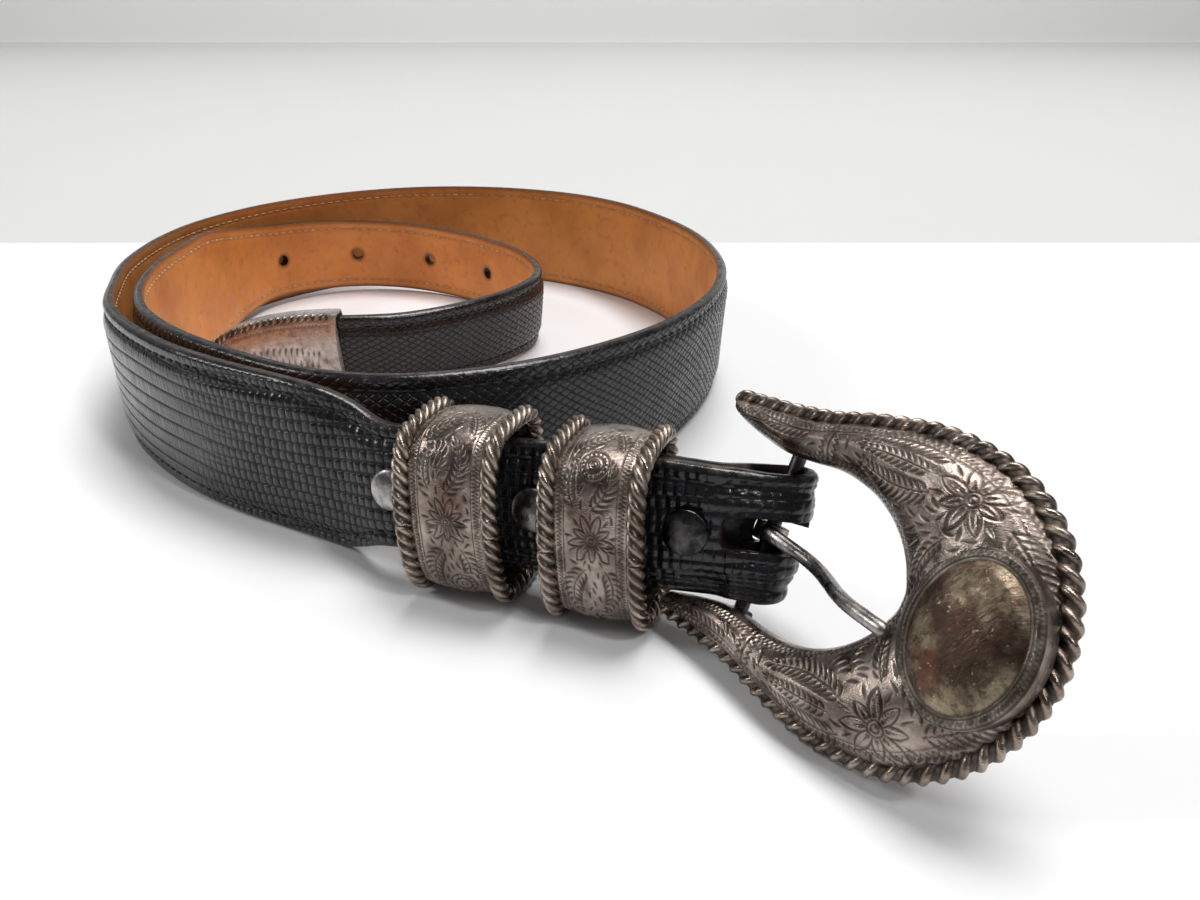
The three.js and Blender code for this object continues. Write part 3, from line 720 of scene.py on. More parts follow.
LIZARD = lizard_finish()
EDGE = edge_finish()
TAN = tan_finish()
BLACK_THREAD = thread_finish("black_thread", (0.03, 0.03, 0.032), (0.008, 0.008, 0.008))
PALE_THREAD = thread_finish("pale_thread", (0.62, 0.43, 0.24), (0.4, 0.22, 0.1))
SILVER = silver_finish("antique_silver", (0.41, 0.342, 0.297), (0.175, 0.134, 0.112), (0.06, 0.041, 0.033))
ROPE = silver_finish("rubbed_rope", (0.43, 0.355, 0.295), (0.2, 0.155, 0.127), (0.075, 0.054, 0.043))
OVAL = oval_finish()
CAP = silver_finish("stained_cap", (0.6, 0.585, 0.57), (0.38, 0.36, 0.345), (0.17, 0.14, 0.125), metal=0.7)
PRONG = steel_finish("prong_steel", (0.42, 0.4, 0.38), (0.15, 0.14, 0.135), 0.22, 0.4)
STEEL = steel_finish("rivet_steel", (0.5, 0.48, 0.46), (0.14, 0.13, 0.13), 0.24, 0.42)
GREYED = steel_finish("rivet_grey", (0.34, 0.32, 0.3), (0.05, 0.048, 0.046), 0.22, 0.42)
BLACKED = steel_finish("rivet_black", (0.1, 0.095, 0.095), (0.018, 0.018, 0.02), 0.2, 0.42)


# Leather
# Distance to a hole's edge, less than nothing inside it, and the way out of it.
def rounded_box(s, h, hole):
    run, up, long, high, radius = hole
    x, y = s - run, h - up
    qx, qy = np.abs(x) - (long - radius), np.abs(y) - (high - radius)
    px, py = np.maximum(qx, 0), np.maximum(qy, 0)
    corner = np.hypot(px, py)
    distance = corner + np.minimum(np.maximum(qx, qy), 0) - radius
    flat = corner < 1e-9
    gx = np.where(flat, (qx > qy) * 1.0, px / np.maximum(corner, 1e-9)) * np.sign(x + 1e-12)
    gy = np.where(flat, (qx <= qy) * 1.0, py / np.maximum(corner, 1e-9)) * np.sign(y + 1e-12)
    return distance, gx, gy


# Holes as run, height, half length, half height and corner radius: the row near the tip, rivets, slot.
def strap_holes(longer=0.0):
    holes = [(ribbon.length - HOLE_FROM_TIP - i * HOLE_PITCH, 0, HOLE_RADIUS, HOLE_RADIUS, HOLE_RADIUS)
             for i in range(HOLE_COUNT)]
    for along in RIVET_ALONG:
        holes.append((ribbon.front(along), 0, RIVET_HOLE, RIVET_HOLE, RIVET_HOLE))
        if along > 20:
            drop = float(np.interp(along, [20, 28, 36, 44], [1.7, 0.8, 0.2, 0]))
            holes.append((ribbon.flap(along), drop, RIVET_HOLE, RIVET_HOLE, RIVET_HOLE))
    behind, before = ribbon.flap(BAR_ALONG - SLOT_FLAP - longer), ribbon.front(BAR_ALONG - SLOT_FRONT)
    step = ribbon.front(BAR_ALONG) - SLOT_STEP
    spans = (behind, step + SLOT_OVERLAP, SLOT_FLAP_HIGH), (step, before, SLOT_FRONT_HIGH)
    for start, end, high in spans:
        middle = (start + end) / 2, (SLOT_LOW + high) / 2
        holes.append((*middle, (end - start) / 2, (high - SLOT_LOW) / 2, SLOT_CORNER))
    return holes


HOLES = strap_holes()
LINING_HOLES = strap_holes(SLOT_LINING)


# Share of the thickness left where the leather is thinned, at the fold and under the tip.
def skive(run):
    thin = 1 - 0.28 * (1 - ease((run - 54) / 10))
    return thin - 0.25 * ease((run - ribbon.length + 38) / 5)


# A ply cut from a fine grid, its holes cut through it, closed all round.
def ply(shells, start, end, step, front, back, finish, holes):
    n = int((end - start) / step) + 1
    m = int(32 / step) + 1
    run = np.repeat(np.linspace(start, end, n)[:, None], m, 1)
    half = ribbon.read(ribbon.half, run)
    share = np.linspace(-1, 1, m)[None, :]
    share = np.sign(share) * (1 - (1 - np.abs(share)) ** 1.12)
    height = half * share
    kept = np.ones((n - 1, m - 1), bool)
    for hole in holes:
        if hole[0] + hole[2] < start or hole[0] - hole[2] > end:
            continue
        middle = [(g[:-1, :-1] + g[1:, :-1] + g[1:, 1:] + g[:-1, 1:]) / 4 for g in (run, height)]
        inside = rounded_box(*middle, hole)[0] < 0
        kept &= ~inside
        pad = np.pad(inside, 1)
        touched = pad[:-1, :-1] | pad[1:, :-1] | pad[1:, 1:] | pad[:-1, 1:]
        pad = np.pad(~inside, 1, constant_values=True)
        free = pad[:-1, :-1] | pad[1:, :-1] | pad[1:, 1:] | pad[:-1, 1:]
        rim = touched & free
        distance, gx, gy = rounded_box(run, height, hole)
        run = np.where(rim, run - distance * gx, run)
        height = np.where(rim, height - distance * gy, height)
    top, numbers = front(run, height, half)
    points = np.vstack([ribbon.at(run, height, d).reshape(-1, 3) for d in (top, back(run, height, half))])
    index = np.arange(n * m).reshape(n, m)
    a, b, c, d = index[:-1, :-1], index[1:, :-1], index[1:, 1:], index[:-1, 1:]
    top_faces = np.column_stack([g[kept] for g in (a, b, c, d)])
    pad = np.pad(kept, 1)
    walls = []
    before, above, behind, below = pad[1:-1, :-2], pad[2:, 1:-1], pad[1:-1, 2:], pad[:-2, 1:-1]
    for p, q, beside in ((a, b, before), (b, c, above), (c, d, behind), (d, a, below)):
        e = kept & ~beside
        walls.append(np.column_stack([q[e], p[e], p[e] + n * m, q[e] + n * m]))
    used = np.zeros(len(points), bool)
    faces = [top_faces, top_faces[:, ::-1] + n * m, np.vstack(walls)]
    for block in faces:
        used[block.ravel()] = True
    fresh = np.cumsum(used) - 1
    numbers = {k: np.tile(np.ravel(v), 2)[used] for k, v in numbers.items()}
    shells.add(points[used], [fresh[block] for block in faces], finish, **numbers)


# Distance from the edge of the scale that a point lies on, and the scale's column and row.
def tiles(s, h, long, high, slant, shift):
    row = (h + slant * s) / high + ROW_START
    j = np.floor(row)
    y = row - j
    col = s / long + shift * j + JOG * np.sin(JOG_TURN * j)
    i = np.floor(col)
    x = col - i
    across, up = np.minimum(x, 1 - x) * long, np.minimum(y, 1 - y) * high
    near = -np.log(np.exp(-3.2 * across) + np.exp(-3.2 * up)) / 3.2 + 0.1
    return near, i, j


# Scales of the skin: how far they stand, how dark the furrows are, and the numbers that place them.
def scales(s, h):
    ws = s + 0.9 * wobble(s, h, 7, 1)
    wh = h + 0.8 * wobble(s, h, 8, 2)
    near, i, j = tiles(ws, wh, PEBBLE_LONG, PEBBLE_HIGH, PEBBLE_SLANT, PEBBLE_SHIFT)
    tile = ease(near / 0.5) * (0.75 + 0.5 * chance(i, j))
    tile_line = 1 - ease(near / 0.32)
    rib = wh + 0.9 * wobble(s, h, 22, 3)
    band = (rib / RIB_HIGH) % 1
    near_rib = np.minimum(band, 1 - band) * RIB_HIGH
    near_cross, i, j = tiles(ws, rib, RIB_LONG, RIB_HIGH, 0.0, 0.4)
    ribs = 0.6 * ease(near_rib / 0.6) + 0.16 * ease(near_cross / 0.3) + 0.16 * (chance(i, j, 7) - 0.5)
    rib_line = np.maximum(1 - ease(near_rib / 0.45), 0.22 * (1 - ease(near_cross / 0.25)))
    p, q = ((ws + lean * wh) / long for lean, long in zip(NET_LEAN, NET_LONG))
    near_net = np.minimum(np.minimum(p % 1, 1 - p % 1), np.minimum(q % 1, 1 - q % 1)) * NET_CELL
    net = 0.8 * ease(near_net / 0.4)
    net_line = 1 - ease(near_net / 0.25)
    di, dj = ws / 2.0, wh / 2.0
    dots = np.hypot(di - np.floor(di) - 0.5, dj - np.floor(dj) - 0.5) * 2.0
    ring = 0.7 * np.exp(-((dots - 0.62) / 0.22) ** 2) + 0.3 * (dots < 0.3)
    ring_line = ease((dots - 0.8) / 0.3) * 0.8
    left = ease((s - LEFT_ZONE) / 26 + 0.25 * wobble(s, h, 7, 5))
    right = ease((s - RIGHT_ZONE) / 60)
    tip = ease((s - TIP_ZONE) / 30)

    def joined(on_left, between, on_right, at_tip):
        beside_buckle = on_left * (1 - left) + between * left
        return beside_buckle * (1 - right) + (on_right * (1 - tip) + at_tip * tip) * right

    stand, line = joined(tile, ribs, net, ring), joined(tile_line, rib_line, net_line, ring_line)
    return stand, line, {"along": ws, "across": wh, "rib": rib, "left": left, "right": right}


# How near a point lies to the row of holes: 1 at their edge, 0 past the given width.
def hole_edge(run, height, width):
    near = np.ones_like(run)
    for hole in HOLES[:HOLE_COUNT]:
        near = np.minimum(near, ease(rounded_box(run, height, hole)[0] / width))
    return 1 - near


def face_front(run, height, half):
    inset = half - np.abs(height)
    k = skive(run)
    lip = np.sqrt(np.clip(1 - (1 - np.clip(inset / LIP, 0, 1)) ** 2, 0, 1))
    level = PLY_SEAM + 0.1 + (FACE_EDGE - PLY_SEAM - 0.1) * lip
    level += (FACE_MID - FACE_EDGE) * ease((inset - 2.2) / 3.2)
    level -= STITCH_SINK * np.exp(-((inset - STITCH_INSET) / 0.5) ** 2)
    stand, line, numbers = scales(run, height)
    skin = ease(inset / 1.6) * (0.35 + 0.65 * ease(np.abs(inset - STITCH_INSET) / 0.8))
    level += (SCALE_RISE * stand - SCALE_SINK) * skin
    fold = ease((run - FOLD_START) / 6) * (1 - ease((run - FOLD_END) / 10))
    crease = np.abs(np.sin(1.5 * height + 1.2 * wobble(run, height, 6, 4)))
    level -= CREASE_SINK * fold * (1 - ease(crease / 0.35)) * ease(inset / 2)
    level += 0.07 * fold * wobble(run, height, 1.1, 2) * ease(inset / 1.5)
    worn = (1 - ease(inset / 1.3)) * ease((height + 8) / 10) * (0.35 + 0.65 * fold)
    level -= 0.25 * hole_edge(run, height, 1.1)
    numbers.update(groove=line * skin * (1 - 0.6 * fold), wear=worn, skin=skin * (1 - 0.75 * fold))
    return level * k, numbers


def lining_front(run, height, half):
    inset = half - np.abs(height)
    near_hole = hole_edge(run, height, 1.3)
    level = LINING_BACK + 0.3 * (1 - ease(inset / 0.7))
    level += 0.16 * np.exp(-((inset - STITCH_INSET) / 0.35) ** 2) + 0.02 * wobble(run, height, 3.5, 1)
    level += 0.22 * near_hole
    edge = np.maximum((1 - ease(inset / 1.5)) * 0.95, 0.85 * near_hole)
    edge = np.maximum(edge, 0.35 * np.exp(-((inset - STITCH_INSET) / 0.4) ** 2))
    return level, {"edge": edge}


def seam(run, height, half):
    return np.full_like(run, PLY_SEAM)


UNDER_KEEPERS = ribbon.front(KEEPER_ALONG[1]), ribbon.front(KEEPER_ALONG[0])
# Spans of each layer. Columns: name, start, end, distance between grid lines
FACE_SPANS = [
    ("face_fold", 0, UNDER_KEEPERS[0], 0.45), ("face_stretch", *UNDER_KEEPERS, 0.5),
    ("face_left", UNDER_KEEPERS[1], 283, 0.37), ("face_back", 283, 660, 0.53),
    ("face_inner", 660, ribbon.length, 0.54),
]
for name, start, end, step in FACE_SPANS:
    shells = Shells("groove", "wear", "along", "across", "rib", "left", "right", "skin")
    ply(shells, start, end, step, face_front, seam, [0, 1, 1], HOLES)
    shells.piece(name, "strap", "strap_face", [LIZARD, EDGE])
LINING_SPANS = [
    ("lining_fold", 0, 80, 0.6), ("lining_front", 80, 420, 0.8), ("lining_middle", 420, 820, 0.8),
    ("lining_holes", 820, ribbon.length, 0.6),
]
for name, start, end, step in LINING_SPANS:
    shells = Shells("edge")
    ply(shells, start, end, step, lining_front, seam, [0, 1, 1], LINING_HOLES)
    shells.piece(name, "strap", "strap_lining", [EDGE if end == 80 else TAN, EDGE])


# Trees of geometry nodes
class Tree:
    """A geometry nodes tree with named inputs, run once on a curve and turned into a plain mesh."""

    def __init__(self, name, **sizes):
        self.group = bpy.data.node_groups.new(name, "GeometryNodeTree")
        self.group.is_modifier = True
        face = self.group.interface
        face.new_socket("Geometry", in_out="INPUT", socket_type="NodeSocketGeometry")
        face.new_socket("Geometry", in_out="OUTPUT", socket_type="NodeSocketGeometry")
        self.keys = {}
        for label, value in sizes.items():
            socket = face.new_socket(label, in_out="INPUT", socket_type="NodeSocketFloat")
            socket.default_value = value
            self.keys[label] = socket.identifier
        socket = face.new_socket("Finish", in_out="INPUT", socket_type="NodeSocketMaterial")
        self.keys["Finish"] = socket.identifier
        self.source = self.group.nodes.new("NodeGroupInput")

    def put(self, kind, inputs=(), **settings):
        return put_node(self.group, kind, dict(inputs), settings)

    def math(self, a, b, operation="MULTIPLY"):
        return self.put("ShaderNodeMath", {0: a, 1: b}, operation=operation).outputs[0]

    def end(self, geometry):
        real = self.put("GeometryNodeRealizeInstances", {"Geometry": geometry}).outputs[0]
        finish = self.source.outputs["Finish"]
        done = self.put("GeometryNodeSetMaterial", {"Geometry": real, "Material": finish})
        shade = self.put("GeometryNodeSetShadeSmooth", {"Geometry": done.outputs[0]})
        sink = self.group.nodes.new("NodeGroupOutput")
        self.group.links.new(shade.outputs[0], sink.inputs[0])

    def grow(self, name, paths, finish, body, node, closed=False, **sizes):
        curve = bpy.data.curves.new(name + "_path", "CURVE")
        curve.dimensions = "3D"
        for path in paths:
            spline = curve.splines.new("POLY")
            spline.points.add(len(path) - 1)
            places = np.column_stack([(np.asarray(path) + SHIFT) * MM, np.ones(len(path))])
            spline.points.foreach_set("co", places.ravel())
            spline.use_cyclic_u = closed
        carrier = bpy.data.objects.new(name + "_carrier", curve)
        bpy.context.scene.collection.objects.link(carrier)
        modifier = carrier.modifiers.new("grow", "NODES")
        modifier.node_group = self.group
        for label, value in sizes.items():
            modifier[self.keys[label]] = value
        modifier[self.keys["Finish"]] = finish
        graph = bpy.context.evaluated_depsgraph_get()
        mesh = bpy.data.meshes.new_from_object(carrier.evaluated_get(graph))
        bpy.data.objects.remove(carrier)
        mesh.name = name
        count = len(mesh.vertices)
        points = np.empty(count * 3)
        mesh.vertices.foreach_get("co", points)
        points = points.reshape(-1, 3)
        mesh.calc_loop_triangles()
        corners = np.empty(len(mesh.loop_triangles) * 3, np.int32)
        mesh.loop_triangles.foreach_get("vertices", corners)
        a, b, c = (points[corners.reshape(-1, 3)[:, k]] for k in range(3))
        if np.einsum("ij,ij->", a, np.cross(b, c)) < 0:
            mesh.flip_normals()
        return dress(bpy.data.objects.new(name, mesh), body, node)


# Twisted rope: a section of round strands swept along the path and turned steadily.
def rope_tree():
    t = Tree("rope_edge", Radius=0.0015, Pitch=0.009, Strands=3.0, Strand=0.54, Floor=0.64)
    size = t.source.outputs
    fine = t.put("GeometryNodeResampleCurve", {"Curve": size["Geometry"], "Length": 0.0003}, mode="LENGTH")
    length = t.put("GeometryNodeSplineParameter").outputs["Length"]
    turn = t.math(t.math(length, size["Pitch"], "DIVIDE"), -2 * math.pi)
    tilted = t.put("GeometryNodeSetCurveTilt", {"Curve": fine.outputs[0], "Tilt": turn})
    ring = t.put("GeometryNodeCurvePrimitiveCircle", {"Resolution": 36, "Radius": size["Radius"]})
    place = t.put("GeometryNodeInputPosition").outputs[0]
    split = t.put("ShaderNodeSeparateXYZ", {0: place})
    angle = t.math(split.outputs[1], split.outputs[0], "ARCTAN2")
    most = t.math(math.pi, size["Strands"], "DIVIDE")
    inside = t.put("ShaderNodeMath", {0: angle, 1: most, 2: t.math(most, -1.0)}, operation="WRAP").outputs[0]
    strand = size["Strand"]
    off = t.math(1.0, strand, "SUBTRACT")
    ahead = t.math(off, t.math(inside, 0.0, "COSINE"))
    beside = t.math(off, t.math(inside, 0.0, "SINE"))
    left = t.math(t.math(strand, strand), t.math(beside, beside), "SUBTRACT")
    bulge = t.math(ahead, t.math(t.math(left, 0.0, "MAXIMUM"), 0.5, "POWER"), "ADD")
    reach = t.math(bulge, size["Floor"], "MAXIMUM")
    grown = t.put("ShaderNodeVectorMath", {0: place, "Scale": reach}, operation="SCALE")
    round_edge = t.put("GeometryNodeSetPosition", {"Geometry": ring.outputs[0], "Position": grown.outputs[0]})
    furrow = t.put("ShaderNodeMapRange", {"Value": reach, "From Min": 0.9, "From Max": 0.66}).outputs[0]
    inputs = {"Geometry": round_edge.outputs[0], "Name": "cut", "Value": furrow}
    marked = t.put("GeometryNodeStoreNamedAttribute", inputs, data_type="FLOAT", domain="POINT")
    inputs = {"Curve": tilted.outputs[0], "Profile Curve": marked.outputs[0], "Fill Caps": True}
    swept = t.put("GeometryNodeCurveToMesh", inputs)
    t.end(swept.outputs[0])
    return t


# Stitches: short rounded threads set one after another along the path.
def stitch_tree():
    t = Tree("stitch_row", Pitch=0.00275, Thick=0.0006, Long=0.0021)
    size = t.source.outputs
    inputs = {"Curve": size["Geometry"], "Length": size["Pitch"]}
    row = t.put("GeometryNodeCurveToPoints", inputs, mode="LENGTH")
    bead = t.put("GeometryNodeMeshUVSphere", {"Segments": 8, "Rings": 6, "Radius": 0.5})
    form = t.put("ShaderNodeCombineXYZ", {0: size["Thick"], 1: size["Thick"], 2: size["Long"]})
    thread = t.put("GeometryNodeTransform", {"Geometry": bead.outputs[0], "Scale": form.outputs[0]})
    inputs = {label: row.outputs[label] for label in ("Points", "Rotation")}
    inputs["Instance"] = thread.outputs[0]
    laid = t.put("GeometryNodeInstanceOnPoints", inputs)
    t.end(laid.outputs[0])
    return t


ROPES = rope_tree()
STITCHES = stitch_tree()


# The two lines of stitches of a layer, from a start beside the buckle to the tip's mouth.
def stitch_rows(front, start, lift):
    run = np.arange(start, ribbon.length - STITCH_END, 1.5)
    half = ribbon.read(ribbon.half, run)
    rows = []
    for side in (-1, 1):
        height = side * (half - STITCH_INSET)
        level = front(run, height, half)[0] + lift
        rows.append(ribbon.at(run, height, level))
    return rows


STITCHES.grow("face_stitches", stitch_rows(face_front, 66, 0.1), BLACK_THREAD, "strap",
              "strap_face", Thick=0.00062)
STITCHES.grow("lining_stitches", stitch_rows(lining_front, 84, -0.02), PALE_THREAD,
              "strap", "strap_lining", Thick=0.00055)


# Engraving: grooves cut on a flat canvas and read back at any place on it.
class Engraving:
    STEP = 0.07

    def __init__(self, low, high):
        self.low = np.array(low, float)
        self.size = np.ceil((np.array(high) - self.low) / self.STEP).astype(int) + 2
        self.depth = np.zeros(self.size)

    def stamp(self, points, widths, depth):
        for (x, y), w in zip(points, widths):
            c = (np.array([x, y]) - self.low) / self.STEP
            r = w / self.STEP
            a = np.maximum(np.floor(c - r).astype(int), 0)
            b = np.minimum(np.ceil(c + r).astype(int) + 1, self.size)
            if (a >= b).any():
                continue
            i = np.arange(a[0], b[0])[:, None]
            j = np.arange(a[1], b[1])[None, :]
            shape = depth * min(1, w / 0.15) * np.clip(1 - ((i - c[0]) ** 2 + (j - c[1]) ** 2) / r ** 2, 0, 1)
            window = self.depth[a[0]:b[0], a[1]:b[1]]
            np.maximum(window, shape, out=window)

    # A groove along points, widest in the middle and pointed where the taper says.
    def cut(self, points, width, taper, depth=1.0):
        points = np.asarray(points, float)
        if len(points) == 3:
            points = bent(*points, 14)
        run = walked(points)
        if run[-1] < 1e-6:
            return
        u = np.linspace(0, 1, max(3, int(run[-1] / (self.STEP * 1.6))))
        path = np.column_stack([np.interp(u * run[-1], run, points[:, k]) for k in (0, 1)])
        widths = width * np.interp(u, np.linspace(0, 1, len(taper)), taper)
        self.stamp(path, np.maximum(widths, 0.1), depth)

    def ring(self, x, y, radius, width, oval=1.0):
        angle = np.linspace(0, 2 * math.pi, 60)
        path = np.column_stack([x + radius * np.cos(angle), y + radius * oval * np.sin(angle)])
        self.cut(path, width, (1, 1))

    # Whether the ground along a path is still plain.
    def free(self, path):
        for i, j in ((np.array(path) - self.low) / self.STEP).astype(int):
            near = self.depth[max(i - 4, 0):i + 5, max(j - 4, 0):j + 5]
            if near.size < 81 or near.max() > 0.05:
                return False
        return True

    # Small curved strokes that flow over whatever ground is still plain.
    def fill(self, low, high, pitch, size):
        for x in np.arange(low[0], high[0], pitch):
            for y in np.arange(low[1], high[1], pitch):
                spot = np.array([x + pitch * chance(x, y, 2.0), y + pitch * chance(y, x, 5.0)])
                lean = 3.4 * float(wobble(x, y, 6, 6)) + 0.5 * chance(x, y, 9.0)
                ahead = np.array([math.cos(lean), math.sin(lean)])
                side = np.array([-ahead[1], ahead[0]]) * (1 if wobble(x, y, 9, 3) > 0 else -1)
                middle, far = ahead * 0.55 + side * 0.12, ahead * 0.9 + side * 0.5
                path = [spot, spot + middle * size, spot + far * size]
                if self.free(path):
                    self.cut(path, 0.3, (0.15, 0.8, 1.0, 0.3))

    # A plume: long thin commas sweeping forwards from both sides of a curved stem.
    def plume(self, start, bend, end, size, spacing=1.0):
        p, q, r = (np.array(v, float) for v in (start, bend, end))
        stem = bent(p, q, r, 40)
        self.cut(stem, 0.17, (0.8, 1.0, 0.6))
        run = walked(stem)
        heads = np.gradient(stem, axis=0)
        for place in np.arange(spacing * 0.5, run[-1], spacing):
            base = np.array([np.interp(place, run, stem[:, k]) for k in (0, 1)])
            ahead = unit(np.array([np.interp(place, run, heads[:, k]) for k in (0, 1)]))
            across = np.array([-ahead[1], ahead[0]])
            u = place / run[-1]
            reach = size * (0.5 + 0.5 * math.sin(math.pi * min(1, 0.15 + u))) * (1 - 0.35 * u)
            for side in (-across, across):
                middle = base + side * reach * 0.7 + ahead * reach * 0.12
                far = base + side * reach * 0.9 + ahead * reach * 0.98
                self.cut([base + side * 0.2, middle, far], PLUME_CUT, (0.25, 0.8, 1.0, 0.7, 0.15))
        head = unit(r - q) * size
        self.cut([r, r + head * 0.3, r + head * 0.6], PLUME_CUT, (0.6, 1.0, 0.2))

    # A flower of narrow pointed petals about a turned centre.
    def flower(self, x, y, radius, count, turn=0.0):
        centre = np.array([x, y])
        for k in range(count):
            angle = turn + 2 * math.pi * k / count
            length = radius * (0.88 + 0.12 * math.cos(2.3 * k))
            tip = centre + length * np.array([math.cos(angle), math.sin(angle)])
            for side in (-1, 1):
                lean = angle + side * math.pi / count * 1.02
                shoulder = centre + length * 0.72 * np.array([math.cos(lean), math.sin(lean)])
                root = centre + radius * 0.24 * np.array([math.cos(lean), math.sin(lean)])
                self.cut([root, shoulder, tip], 0.23, (0.7, 1.0, 0.6))
            for side in (-0.3, 0.0, 0.3):
                lean = angle + side * math.pi / count
                ray = np.array([math.cos(lean), math.sin(lean)])
                near = centre + ray * radius * 0.27
                path = [near, near + ray * radius * 0.12, near + ray * radius * (0.42 - abs(side))]
                self.cut(path, 0.17, (1.0, 0.8, 0.1))
            between = angle + math.pi / count
            reach = np.array([math.cos(between), math.sin(between)])
            self.cut([centre + reach * radius * 0.66, centre + reach * radius * 0.85,
                      centre + reach * radius * 1.04], 0.27, (0.2, 1.0, 0.4))
        self.ring(x, y, radius * 0.2, 0.2)
        self.ring(x, y, radius * 0.1, 0.17)

    # A zigzag along a path, reaching equally far to both of its sides.
    def wriggle(self, path, pitch, reach, width):
        path = np.asarray(path, float)
        run = walked(path)
        count = max(2, int(run[-1] / (pitch / 2)))
        s = np.linspace(0, run[-1], count)
        places = np.column_stack([np.interp(s, run, path[:, k]) for k in (0, 1)])
        heads = np.gradient(places, axis=0)
        sides = np.column_stack([-heads[:, 1], heads[:, 0]]) / np.linalg.norm(heads, axis=1)[:, None]
        places = places + sides * reach * np.where(np.arange(count) % 2, 1, -1)[:, None]
        self.cut(places, width, (1, 1), 0.85)

    def read(self, x, y):
        layer = self.depth
        u = np.clip((np.asarray(x) - self.low[0]) / self.STEP, 0, self.size[0] - 1.001)
        v = np.clip((np.asarray(y) - self.low[1]) / self.STEP, 0, self.size[1] - 1.001)
        i, j = u.astype(int), v.astype(int)
        u, v = u - i, v - j
        return ((1 - u) * (1 - v) * layer[i, j] + u * (1 - v) * layer[i + 1, j]
                + (1 - u) * v * layer[i, j + 1] + u * v * layer[i + 1, j + 1])


# Keepers
# Where a keeper stands on the stretch, its foot level with the floor of its window.
def keeper_place(index):
    place = stretch_place(KEEPER_TILT)
    origin = stretch.at(KEEPER_ALONG[index], 0, 0)
    origin[2] = KEEPER_FLOOR
    return Place(origin, place.along, place.up, place.out)


# The loop round the strap, started at the middle of the front and walked upwards.
class Loop:
    def __init__(self, count):
        fine = self.corners(circle(2400))
        outer = np.column_stack(fine[2:])
        run = walked(np.vstack([outer, outer[:1]]))
        self.length = run[-1]
        self.q = np.linspace(0, self.length, count, endpoint=False)
        turn = np.interp(self.q, run, np.linspace(0, 2 * math.pi, 2401))
        ib, ic, ob, oc = self.corners(turn)
        size = np.hypot(ob - ib, oc - ic)
        self.b, self.c = ib, ic
        self.db, self.dc = (ob - ib) / size, (oc - ic) / size
        self.q = np.where(self.q > self.length / 2, self.q - self.length, self.q)

    def corners(self, turn):
        depth, mid = (WINDOW_FRONT + WINDOW_BACK) / 2, (WINDOW_FRONT - WINDOW_BACK) / 2
        result = []
        for grow in (0, 1):
            c, s = np.sin(turn), np.cos(turn)
            b = squarer(c, 0.42) * (WINDOW_HALF + grow)
            front = np.where(s > 0, KEEPER_CROWN * (1 - (b / (WINDOW_HALF + grow)) ** 2), 0)
            result += [b, mid + squarer(s, 0.42) * (depth + grow) + front]
        return result

    def at(self, place, a, lift):
        return place.at(a, self.b + self.db * lift, self.c + self.dc * lift)


def keeper_engraving(index):
    e = Engraving((-24, -8), (24, 8))
    half = KEEPER_LENGTH[index] / 2
    for side in (-1, 1):
        edge = side * (half - 2.3)
        e.wriggle([(-24, edge), (24, edge)], 0.62, 0.42, 0.16)
        e.cut([(-24, edge - side * 0.75), (24, edge - side * 0.75)], 0.15, (1, 1), 0.8)
    middle = (1.2, 0.3) if index == 0 else (2.4, 0.4)
    e.flower(*middle, 4.2, 9, 0.3)
    q = middle[0]
    for start, bend, end, size in (
        ((4.6, 0.3), (8.6, 4.4), (12.6, 1.4), 2.0), ((5.0, -2.6), (8.0, -4.4), (11.4, -2.6), 1.5),
        ((12.4, -3.4), (15.8, -2.6), (18.4, 1.6), 1.9), ((14.2, 3.6), (16.4, 3.8), (20.4, 1.0), 1.5),
        ((-4.6, 2.4), (-8.0, 4.6), (-12.0, 2.4), 1.9), ((-4.8, -0.6), (-8.2, -4.2), (-13.0, -2.2), 2.2),
        ((-12.6, 0.4), (-16.4, 3.8), (-20.4, 0.8), 2.0), ((-13.8, -3.4), (-16.4, -4.0), (-19.4, -2.4), 1.4),
    ):
        e.plume((q + start[0], start[1]), (q + bend[0], bend[1]), (q + end[0], end[1]), size)
    spot = np.array((-10.4, 1.7) if index == 0 else (13.6, 0.0))
    low, high = ((spot + reach - e.low) / e.STEP for reach in (-2.5, 2.5))
    e.depth[int(low[0]):int(high[0]), int(low[1]):int(high[1])] = 0
    for radius, width in ((0.45, 0.2), (1.35, 0.24), (2.2, 0.2)):
        e.ring(*spot, radius, width)
    for k in range(16):
        reach = np.array([math.cos(2 * math.pi * k / 16), math.sin(2 * math.pi * k / 16)])
        e.cut([spot + reach * 1.45, spot + reach * 1.8, spot + reach * 2.15], 0.19, (0.5, 1, 0.5))
    e.fill((-22, -half + 3.4), (21, half - 4.2), 0.55, 1.5)
    return e


